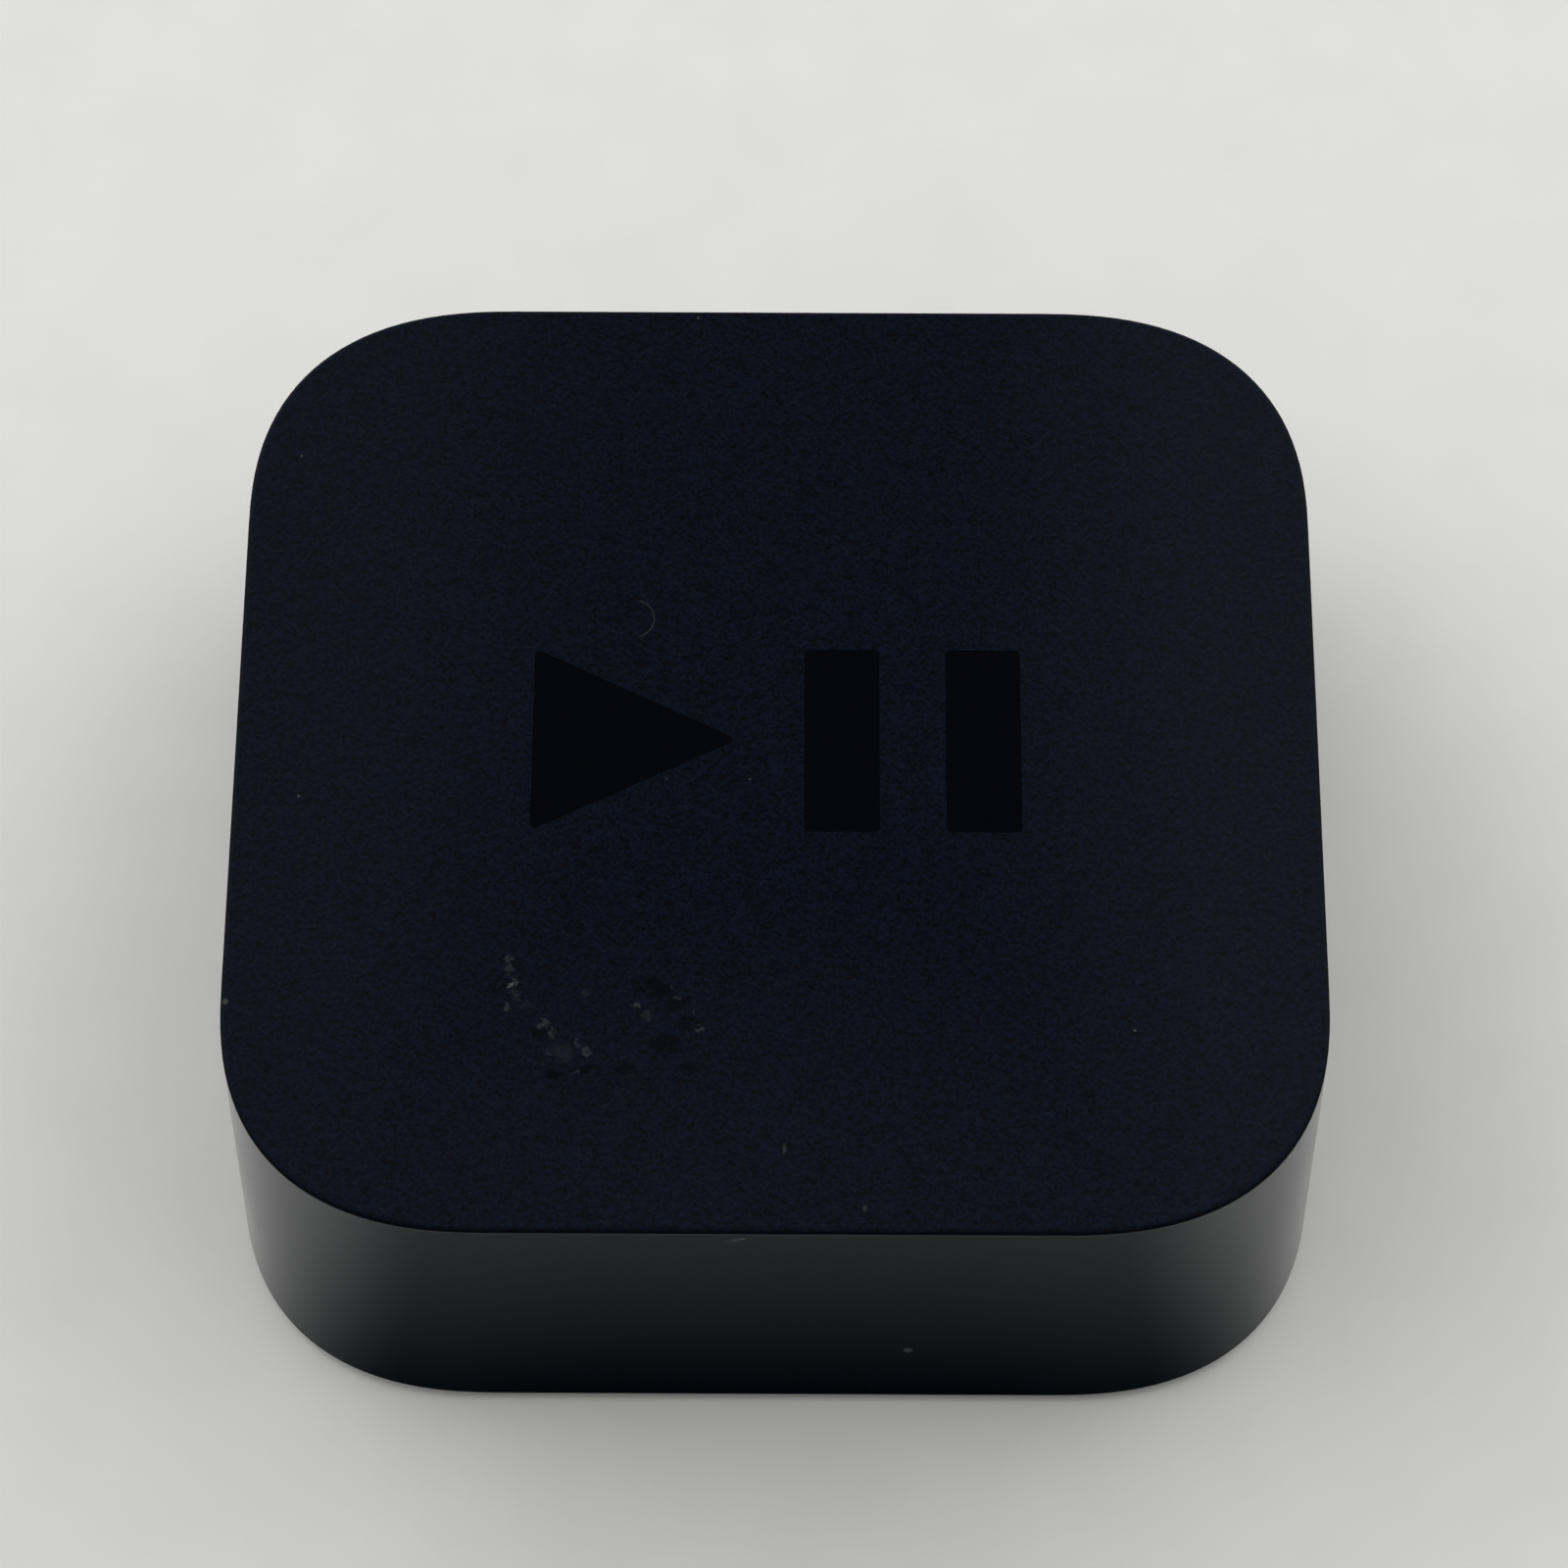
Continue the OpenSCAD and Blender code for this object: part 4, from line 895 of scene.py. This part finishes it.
# Pins: turned from rod, with round noses; behind, each is bent to a flat tail on the power board
pins_low, pins_high = span("power_inlet_pins")
PIN_THICK = 1.18
PIN_ROOT = 1.0
PIN_FREE_START = 34.4
PIN_PITCH = (pins_high[0] - pins_low[0]) - 2 * PIN_THICK
pin_parts = []
for side in (-1, 1):
    x = INLET_X + side * PIN_PITCH / 2
    nose = [(PIN_THICK * cos(t), pins_high[1] - PIN_THICK + PIN_THICK * sin(t))
            for t in np.radians([0, 20, 40, 60, 75, 86])]
    pin_parts.append(turned([
        (PIN_ROOT - 0.1, pins_low[1] + 0.8), (PIN_ROOT, pins_low[1] + 0.9), (PIN_ROOT, PIN_FREE_START - 0.02),
        (PIN_THICK, PIN_FREE_START), *nose], (x, 0, PORT_Z), "y", 36))
    tail = rounded(box_plan((x - 0.8, x + 0.8), (pins_low[1], pins_low[1] + 0.82)), 0.15, 3)
    pin_parts.append(prism(tail, PORT_Z - 1, pins_high[2]))
pin_points, pin_faces = joined(*pin_parts)
pins = made_piece("power_inlet_pins_made", pin_points * MM, pin_faces, [nickel])
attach(pins, "player")
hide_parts("power_inlet_pins")


# ---------- main board ----------
# Green glass-epoxy laminate with copper tracks under the solder mask and tinned vias. The processor and
# the flash memory sit underneath, inside a tinned fence, and reach the heat sink through soft thermal pads.

def make_board_copper():
    """Tracks are the thin joints of a brick pattern, which runs along or across in each cell of a coarse
    Voronoi pattern. Vias are rings round the points of some cells of a finer one. Cut edges have neither."""
    group, given, out = new_group(
        "board_copper",
        [("Mask", "Color", (0, 0.1, 0.03, 1)), ("Copper Under Mask", "Color", (0, 0.2, 0.05, 1)),
         ("Core", "Color", (0.3, 0.3, 0.15, 1)), ("Upright", "Float", 0)],
        [("Color", "Color"), ("Roughness", "Float"), ("Height", "Float")])
    place = node_in(group, "ShaderNodeTexCoord", (-1400, 200))
    parts = node_in(group, "ShaderNodeSeparateXYZ", (-1200, 200))
    facing = node_in(group, "ShaderNodeNewGeometry", (-1400, -200))
    faces_to = node_in(group, "ShaderNodeSeparateXYZ", (-1200, -200))
    wire(group, ((place, "Object"), (parts, 0)), ((facing, "Normal"), (faces_to, 0)))

    def lying_or_upright(source):
        choice = node_in(group, "ShaderNodeMix")
        wire(group, ((given, "Upright"), (choice, "Factor")), (source[0], (choice, "A")),
             (source[1], (choice, "B")))
        return choice, "Result"

    second = lying_or_upright(((parts, "Y"), (parts, "Z")))
    flat = lying_or_upright(((faces_to, "Z"), (faces_to, "Y")))
    on_face = stepped(group, number(group, "ABSOLUTE", flat), 0.5, 0.6)
    plan = node_in(group, "ShaderNodeCombineXYZ")
    crossed = node_in(group, "ShaderNodeCombineXYZ")
    wire(group, ((parts, "X"), (plan, "X")), (second, (plan, "Y")),
         ((parts, "X"), (crossed, "Y")), (second, (crossed, "X")))
    lines = []
    for direction in (plan, crossed):
        tracks = node_in(group, "ShaderNodeTexBrick", offset=0.37, squash=0.6, squash_frequency=3)
        for socket, value in (("Scale", 150), ("Mortar Size", 0.012), ("Mortar Smooth", 0.1),
                              ("Brick Width", 1.4), ("Row Height", 0.09)):
            tracks.inputs[socket].default_value = value
        wire(group, ((direction, "Vector"), (tracks, "Vector")))
        lines.append((tracks, "Fac"))
    regions = node_in(group, "ShaderNodeTexVoronoi", voronoi_dimensions="2D", distance="MANHATTAN")
    regions.inputs["Scale"].default_value = 85
    region = node_in(group, "ShaderNodeSeparateColor")
    turned_here = number(group, "GREATER_THAN", (region, "Red"), 0.5)
    line = node_in(group, "ShaderNodeMix")
    wire(group, ((plan, "Vector"), (regions, "Vector")), ((regions, "Color"), (region, "Color")),
         (turned_here, (line, "Factor")), (lines[0], (line, "A")), (lines[1], (line, "B")))
    lined = number(group, "GREATER_THAN", (region, "Green"), 0.3)
    copper = number(group, "SUBTRACT", 1, number(group, "MULTIPLY", (line, "Result"), lined))
    vias = node_in(group, "ShaderNodeTexVoronoi", voronoi_dimensions="2D")
    vias.inputs["Scale"].default_value = 330
    via_choice = node_in(group, "ShaderNodeSeparateColor")
    wire(group, ((plan, "Vector"), (vias, "Vector")), ((vias, "Color"), (via_choice, "Color")))
    pad = stepped(group, (vias, "Distance"), 0.12, 0.09)
    hole = stepped(group, (vias, "Distance"), 0.035, 0.05)
    ring = number(group, "MULTIPLY", number(group, "MULTIPLY", pad, hole),
                  number(group, "GREATER_THAN", (via_choice, "Red"), 0.72))
    ring = number(group, "MULTIPLY", ring, on_face)
    masked = node_in(group, "ShaderNodeMix", data_type="RGBA")
    whole = node_in(group, "ShaderNodeMix", data_type="RGBA")
    whole.inputs["B"].default_value = (0.6, 0.6, 0.56, 1)
    edged = node_in(group, "ShaderNodeMix", data_type="RGBA")
    wire(group, ((given, "Mask"), (masked, "A")), ((given, "Copper Under Mask"), (masked, "B")),
         (copper, (masked, "Factor")), ((masked, "Result"), (whole, "A")), (ring, (whole, "Factor")),
         ((given, "Core"), (edged, "A")), ((whole, "Result"), (edged, "B")), (on_face, (edged, "Factor")),
         ((edged, "Result"), (out, "Color")), (stepped(group, ring, 0, 1, 0.4, 0.25), (out, "Roughness")),
         (number(group, "MAXIMUM", number(group, "MULTIPLY", copper, 0.5), ring), (out, "Height")))
    return group


board_copper = make_board_copper()


def laminate(name, mask, copper, core, upright=0):
    """A printed board's finish: mask over copper tracks, tinned vias, and the bare core at its cut edge."""
    made, tree, shader = plain_shader(name, mask, 0.35)
    pattern = node_in(tree, "ShaderNodeGroup", (-500, 0))
    pattern.node_tree = board_copper
    for socket, colour in (("Mask", mask), ("Copper Under Mask", copper), ("Core", core)):
        pattern.inputs[socket].default_value = (*colour, 1)
    pattern.inputs["Upright"].default_value = upright
    bump = node_in(tree, "ShaderNodeBump", (-250, -200))
    bump.inputs["Distance"].default_value = 0.03 * MM
    wire(tree, ((pattern, "Color"), (shader, "Base Color")), ((pattern, "Roughness"), (shader, "Roughness")),
         ((pattern, "Height"), (bump, "Height")), ((bump, "Normal"), (shader, "Normal")))
    return made


MASK_GREEN = (0.004, 0.032, 0.013)
COPPER_GREEN = (0.009, 0.062, 0.025)
CORE_GREEN = (0.10, 0.16, 0.06)
green_mask = laminate("green_solder_mask", MASK_GREEN, COPPER_GREEN, CORE_GREEN)
chip_black, *_ = grained("chip_black_epoxy", (0.016, 0.016, 0.018), (0.5, 0.66), 0.12, 0.004, 0.3)
pad_grey, *_ = grained("thermal_pad_silicone", (0.26, 0.3, 0.36), (0.62, 0.78), 0.3, 0.02, 0.15)
coil_grey, *_ = grained("coil_ferrite", (0.055, 0.055, 0.058), (0.5, 0.7), 0.25, 0.015, 0.3)

finished("main_board", green_mask)
for chips, edge in (("processor", 0.12), ("flash_memory", 0.1), ("control_chips", 0.08),
                    ("network_transformer", 0.3)):
    eased_copy(chips, edge, [chip_black])
for pad in ("processor_thermal_pad", "flash_thermal_pad"):
    eased_copy(pad, 0.15, [pad_grey])
eased_copy("shield_fence", 0.06, [tinned_steel])
eased_copy("power_coils", 0.45, [coil_grey])


# ---------- heat sink ----------
# One zinc and aluminium casting over the whole underside of the main board, with two pedestals for the
# chips and shallow grooves. Four long screws hold it and the board to the casing's bosses.

cast_metal, *_ = grained("cast_aluminium", (0.42, 0.42, 0.42), (0.43, 0.49), 0.35, 0.012, 0.15, Metallic=1)
eased_copy("heat_sink", 0.15, [cast_metal])

zinc_plate, *_ = grained("zinc_plated_steel", (0.5, 0.51, 0.53), (0.22, 0.36), 0.12, 0.0008, 0.12, Metallic=1)
SCREW_HEAD_H = 1.5
SINK_SCREW_R = 1.2
HEAD_R = 2.2


def screw(at, z, head_r, shank_r, length, down=False, sides=24, pitch=0.5, deep=0.12):
    """A pan-head screw standing on its head at z. The socket is six-sided: radius times cos 30 over the
    cosine of the turn from the nearest flat. The thread is a wave of height over pitch minus turn."""
    a = np.arange(sides) * 2 * pi / sides
    six = head_r * 0.45 * cos(pi / 6) / np.cos(np.mod(a, pi / 3) - pi / 6)
    one = np.ones(sides)
    arc = [(head_r - 0.5 + 0.5 * sin(t), 0.5 - 0.5 * cos(t)) for t in np.radians([10, 30, 50, 70, 90])]
    heads = [(six * 0.96, 0.8), (six, 0.74), (six, 0.12), (six + 0.1, 0.0), *[(r * one, h) for r, h in arc],
             (head_r * one, SCREW_HEAD_H - 0.1), ((head_r - 0.1) * one, SCREW_HEAD_H),
             (shank_r * one, SCREW_HEAD_H)]
    h = np.arange(SCREW_HEAD_H + 0.1, SCREW_HEAD_H + length - 0.5, pitch / 5)
    wave = 0.5 - 0.5 * np.cos(2 * pi * (h[:, None] / pitch - a[None, :] / (2 * pi)))
    point = [(shank_r - deep) * one, 0.6 * shank_r * one]
    radius = np.concatenate([[r for r, _ in heads], shank_r - deep * wave, point])
    height = np.concatenate([[v for _, v in heads], h, [SCREW_HEAD_H + length - 0.45, SCREW_HEAD_H + length]])
    rings = np.stack([radius * np.cos(a), radius * np.sin(a), np.repeat(height[:, None], sides, 1)], -1)
    return skin(rings @ AXES["-z" if down else "z"] + np.array([*at, z]))


def screws(node, shapes):
    """All screws of one kind as one piece."""
    screw_points, screw_faces = joined(*shapes)
    made = made_piece(node + "_made", screw_points * MM, screw_faces, [zinc_plate])
    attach(made, "player")
    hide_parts(node)


screw_low, screw_high = span("heat_sink_screws")
SINK_SCREW_LENGTH = screw_high[2] - screw_low[2] - SCREW_HEAD_H
screws("heat_sink_screws",
       [screw(p, screw_low[2], HEAD_R, SINK_SCREW_R, SINK_SCREW_LENGTH) for p in SINK_HOLES])


# ---------- wireless module and antennas ----------
# A tinned can on the main board. Two thin coaxial cables run from its gold plugs along the walls to the
# antennas: copper foil on black carriers that are glued behind the left and right wall.

eased_copy("wireless_module", 0.15, [tinned_steel])
finished("antenna_plugs", gold_plate)
cable_black, *_ = grained("cable_black_jacket", (0.012, 0.012, 0.012), (0.3, 0.42), 0.3, 0.003, 0.25)
carrier_black, *_ = grained("antenna_carrier", (0.012, 0.012, 0.013), (0.45, 0.6), 0.4, 0.008, 0.3)
copper_foil, *_ = grained("antenna_foil", (0.8, 0.46, 0.3), (0.25, 0.4), 0.3, 0.002, 0.15, Metallic=1)
for side in ("left", "right"):
    foil_x = min(abs(corner[0]) for corner in span("antenna_" + side))
    eased_copy("antenna_" + side, 0.05, [carrier_black, copper_foil],
                       pick=lambda c, x=foil_x: np.abs(c[:, 0]) < x + 0.12)
    eased_copy("antenna_cable_" + side, 0, [cable_black])


# ---------- front board ----------
# A small board in rails behind the front wall, with the remote-control receiver and the status LED. An
# orange polyimide ribbon joins it to the connector at the main board's front edge.

finished("front_board", laminate("green_solder_mask_upright", MASK_GREEN, COPPER_GREEN, CORE_GREEN, 1))
receiver_dark, *_ = grained("receiver_dark_epoxy", (0.02, 0.008, 0.012), (0.12, 0.2), 0.4, 0.001, 0.25)
led_yellow, *_ = grained("led_yellow_resin", (0.75, 0.6, 0.2), (0.3, 0.42), 0.2, 0.002, 0.1)
polyimide, tree, shader, grain = grained(
    "ribbon_polyimide", (0.42, 0.16, 0.02), (0.28, 0.4), 0.4, 0.002, 0.15)
lines = node_in(tree, "ShaderNodeTexWave", (-700, 300), wave_type="BANDS", bands_direction="X")
lines.inputs["Scale"].default_value = 320
line = stepped(tree, (lines, "Fac"), 0.45, 0.6)
inked = node_in(tree, "ShaderNodeMix", data_type="RGBA")
inked.inputs["B"].default_value = (0.2, 0.07, 0.012, 1)
place = node_in(tree, "ShaderNodeTexCoord", (-900, 300))
wire(tree, ((place, "Object"), (lines, "Vector")), ((grain, "Color"), (inked, "A")),
     (line, (inked, "Factor")), ((inked, "Result"), (shader, "Base Color")))
connector_cream, *_ = grained("connector_cream_nylon", (0.62, 0.58, 0.48), (0.42, 0.56), 0.3, 0.004, 0.12)
eased_copy("remote_receiver", 0.2, [receiver_dark])
eased_copy("status_led", 0.08, [led_yellow])
finished("front_ribbon", polyimide)
eased_copy("ribbon_connector", 0.15, [connector_cream])


# ---------- power supply ----------
# A tan paper-epoxy board hangs from four bosses, with an insulating film tray under it. Mains comes in at
# the back and is filtered, rectified, stepped down and smoothed; two brass posts carry it to the main board.

tan_mask = laminate("tan_laminate", (0.33, 0.2, 0.07), (0.35, 0.215, 0.08), (0.3, 0.19, 0.08))
finished("power_board", tan_mask)
tray_film, *_ = grained("insulator_film", (0.03, 0.03, 0.032), (0.35, 0.5), 0.5, 0.004, 0.2)
eased_copy("insulator_tray", 0.08, [tray_film])
brass, *_ = grained("turned_brass", (0.72, 0.52, 0.22), (0.22, 0.34), 0.15, 0.001, 0.12, (1, 1, 8),
                    Metallic=1)
eased_copy("power_posts", 0.15, [brass])

POST_PLACES = [(-27, 2), (-27, 12)]
LOWER_SCREW_LENGTH = 4.6
UPPER_SCREW_LENGTH = 4.2
board_low = span("main_board")[0][2]
screws("power_post_screws", [s for p in POST_PLACES for s in (
    screw(p, board_low - SCREW_HEAD_H, 2.1, SINK_SCREW_R, LOWER_SCREW_LENGTH),
    screw(p, power_top + SCREW_HEAD_H, HEAD_R, SINK_SCREW_R, UPPER_SCREW_LENGTH, down=True))])
BOARD_SCREW_LENGTH = power_top - power_low + 5
screws("power_board_screws",
       [screw(p, power_low - SCREW_HEAD_H, 2, 1, BOARD_SCREW_LENGTH, deep=0.1) for p in POWER_HOLES])

# Fuse: a ceramic tube with pressed end caps
fuse_low, fuse_high = span("fuse")
_, FUSE_Y, FUSE_Z = (fuse_low + fuse_high) / 2
CAP_R = (fuse_high[2] - fuse_low[2]) / 2
ends = fuse_low[0], fuse_high[0]
TUBE_R = 1.8
CAP_LONG = 3
TUBE_SHORT = CAP_LONG - 0.1             # the tube ends this far inside each cap's outer face
fuse_ceramic, *_ = grained("fuse_ceramic", (0.72, 0.68, 0.6), (0.3, 0.42), 0.3, 0.002, 0.08)
fuse_parts = [turned([(TUBE_R, ends[0] + TUBE_SHORT), (TUBE_R, ends[1] - TUBE_SHORT)],
                     (0, FUSE_Y, FUSE_Z), "x", 36)]
for start in (ends[0], ends[1] - CAP_LONG):
    fuse_parts.append(turned([(CAP_R - 0.3, start), (CAP_R, start + 0.3), (CAP_R, start + CAP_LONG - 0.3),
                              (CAP_R - 0.25, start + CAP_LONG)], (0, FUSE_Y, FUSE_Z), "x", 36))
fuse_points, fuse_faces = joined(*fuse_parts)
fuse = made_piece("fuse_made", fuse_points * MM, fuse_faces, [fuse_ceramic, nickel],
                  [0] * len(fuse_parts[0][1]) + [1] * (len(fuse_faces) - len(fuse_parts[0][1])))
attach(fuse, "player")
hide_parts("fuse")

box_yellow, *_ = grained("filter_capacitor_yellow", (0.62, 0.42, 0.04), (0.38, 0.46), 0.3, 0.001, 0.06)
eased_copy("filter_capacitor", 0.5, [box_yellow])

# Capacitors: an aluminium can in a shrunk sleeve with a crimped groove and a pale stripe on the minus side
sleeve_navy, *_ = grained("sleeve_navy", (0.010, 0.016, 0.05), (0.24, 0.36), 0.6, 0.002, 0.2)
sleeve_black, *_ = grained("sleeve_black", (0.012, 0.012, 0.014), (0.26, 0.38), 0.6, 0.002, 0.2)
sleeve_stripe, *_ = grained("sleeve_stripe", (0.5, 0.5, 0.48), (0.26, 0.38), 0.6, 0.002, 0.1)
can_metal, *_ = grained("can_aluminium", (0.72, 0.72, 0.71), (0.28, 0.42), 0.2, 0.001, 0.08, Metallic=1)
CAN_SIDES = 48


def capacitor(can_r, length, lip_r, lip_h, at, axis):
    """A crimped can: bung end, groove, straight wall, rounded shoulder, and a bare end in the sleeve."""
    groove = can_r * 0.06
    rows = [(can_r * 0.75, 0), (can_r * 0.9, 0), (can_r, can_r * 0.1), (can_r, 1.2), (can_r - groove, 1.6),
            (can_r - groove, 2), (can_r, 2.4), (can_r, length - 0.4),
            *[(can_r - 0.4 + 0.4 * cos(t), length - 0.4 + 0.4 * sin(t)) for t in np.radians([30, 60, 90])],
            (lip_r + 0.1, length), (lip_r, length + lip_h), (lip_r - 0.3, length + lip_h),
            (lip_r - 0.4, length + lip_h - 0.15)]
    row = np.repeat(np.arange(len(rows) - 1), CAN_SIDES)
    side = np.tile(np.arange(CAN_SIDES), len(rows) - 1)
    slots = np.where(row >= len(rows) - 3, 2, np.where((side >= 8) & (side < 14), 1, 0))
    return turned(rows, at, axis, CAN_SIDES), [*slots, *[0] * CAN_SIDES, *[2] * CAN_SIDES]


def capacitors(node, sleeve, made_shapes):
    """All capacitors of one kind as one piece."""
    can_points, can_faces = joined(*[shape for shape, _ in made_shapes])
    made = made_piece(node + "_made", can_points * MM, can_faces, [sleeve, sleeve_stripe, can_metal],
                      [m for _, slots in made_shapes for m in slots])
    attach(made, "player")
    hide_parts(node)


bulk_low, bulk_high = span("bulk_capacitors")
BULK_R = (bulk_high[2] - bulk_low[2]) / 2
LIP_H = 0.6
BULK_LONG = bulk_high[0] - bulk_low[0] - LIP_H
capacitors("bulk_capacitors", sleeve_navy, [
    capacitor(BULK_R, BULK_LONG, BULK_R - 0.7, LIP_H, (bulk_low[0], y, power_top + BULK_R), "x")
    for y in (bulk_low[1] + BULK_R, bulk_high[1] - BULK_R)])
out_low, out_high = span("output_capacitors")
OUT_R = 3.15
OUT_TALL = 9
capacitors("output_capacitors", sleeve_black, [
    capacitor(OUT_R, OUT_TALL, 2.6, 0.3, (x, y, power_top), "z")
    for x in (out_low[0] + OUT_R, out_high[0] - OUT_R) for y in (out_low[1] + OUT_R, out_high[1] - OUT_R)])

# Transformer, chokes and rectifiers
wound_tape, *_ = grained("transformer_tape", (0.6, 0.46, 0.05), (0.24, 0.34), 0.4, 0.0008, 0.07,
                         (0.1, 0.1, 3))
enamel, *_ = grained("enamelled_copper", (0.55, 0.17, 0.05), (0.18, 0.3), 0.2, 0.001, 0.2, Metallic=0.7)
core_iron, *_ = grained("iron_powder_core", (0.02, 0.06, 0.045), (0.5, 0.65), 0.25, 0.01, 0.25)
eased_copy("transformer_core", 0.25, [coil_grey])
eased_copy("transformer_winding", 0.7, [wound_tape])

choke_low, choke_high = span("filter_choke")
choke_mid = (choke_low + choke_high) / 2
COIL_WIRE = 0.5
COIL_R = 2.6
COIL_LONG = 8
COIL_ASIDE = 2.9
coil_z = power_top + 4.7
h = np.linspace(0, COIL_LONG, COIL_LONG * 20 + 1)
ripple = COIL_R - 0.2 * COIL_WIRE + 0.2 * COIL_WIRE * np.abs(np.sin(pi * h / COIL_WIRE))
coils = [turned(np.column_stack([ripple, h]),
                (choke_mid[0] - COIL_LONG / 2, choke_mid[1] + COIL_ASIDE * side, coil_z), "x", 32)
         for side in (-1, 1)]
choke_w, _, choke_h = choke_high - choke_low
block = prism(oblong((choke_mid[0], choke_mid[2]), choke_w, choke_h, 0.5), choke_low[1], choke_high[1], XZ)
window = prism(oblong((choke_mid[0], coil_z), COIL_LONG, 5.4, 0.4), choke_low[1] - 1, choke_high[1] + 1, XZ)
filter_choke = made_piece("filter_choke_made", block[0] * MM, block[1], [coil_grey, enamel])
cut_away(filter_choke, made_piece("window", window[0] * MM, window[1], [coil_grey]))
coil_points, coil_faces = joined(*coils)
joined_into(filter_choke, made_piece("coils", coil_points * MM, coil_faces, [enamel]))
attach(filter_choke, "player")
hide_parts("filter_choke")

# The output choke: a ring core wound with one layer of thick wire
ring_low, ring_high = span("output_choke")
ring_mid = (ring_low + ring_high) / 2
ring_out = (ring_high[0] - ring_low[0]) / 2
RING_IN = 2
WIRE_R = 0.38
turns, per_turn = 22, 20
t = np.arange(turns * per_turn + 1) / per_turn
around_ring = 2 * pi * 0.94 * t / turns
across = (ring_out - RING_IN) / 2 - WIRE_R
up = (ring_high[2] - ring_low[2]) / 2 - WIRE_R
wave_c, wave_s = np.cos(2 * pi * t), np.sin(2 * pi * t)
bulge = np.abs(wave_c) ** 0.5 * np.sign(wave_c), np.abs(wave_s) ** 0.5 * np.sign(wave_s)
ring_radius = (ring_out + RING_IN) / 2 + across * bulge[0]
path = np.stack([ring_mid[0] + ring_radius * np.cos(around_ring),
                 ring_mid[1] + ring_radius * np.sin(around_ring),
                 ring_mid[2] + up * bulge[1]], 1)
centre_line = np.stack([ring_mid[0] + (ring_out + RING_IN) / 2 * np.cos(around_ring),
                        ring_mid[1] + (ring_out + RING_IN) / 2 * np.sin(around_ring),
                        np.full(len(t), ring_mid[2])], 1)


def tube(path, radius, outwards, sides=8):
    """A round wire along a path: a circle at each point, in the plane of outwards and its cross product
    with the path."""
    along = np.gradient(path, axis=0)
    along /= np.linalg.norm(along, axis=1)[:, None]
    across = outwards - (outwards * along).sum(1)[:, None] * along
    across /= np.linalg.norm(across, axis=1)[:, None]
    third = np.cross(along, across)
    a = np.arange(sides) * 2 * pi / sides
    circles = np.cos(a)[None, :, None] * across[:, None] + np.sin(a)[None, :, None] * third[:, None]
    return skin(path[:, None] + radius * circles)


winding = tube(path, WIRE_R, path - centre_line)
core = turned([(RING_IN + 0.75, ring_low[2] + 0.75), (ring_out - 0.75, ring_low[2] + 0.75),
               (ring_out - 0.75, ring_high[2] - 0.75), (RING_IN + 0.75, ring_high[2] - 0.75)],
              (ring_mid[0], ring_mid[1], 0), "z", 40, looped=True)
ring_points, ring_faces = joined(winding, core)
output_choke = made_piece("output_choke_made", ring_points * MM, ring_faces, [enamel, core_iron],
                          [0] * len(winding[1]) + [1] * len(core[1]))
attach(output_choke, "player")
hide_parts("output_choke")

for chips, edge in (("bridge_rectifier", 0.3), ("switch_transistor", 0.2), ("output_rectifier", 0.2)):
    eased_copy(chips, edge, [chip_black])
sheet_metal, *_ = grained("heat_sink_sheet", (0.62, 0.62, 0.61), (0.3, 0.44), 0.3, 0.001, 0.1, (1, 1, 0.08),
                          Metallic=1)
eased_copy("transistor_heat_sink", 0.1, [sheet_metal])
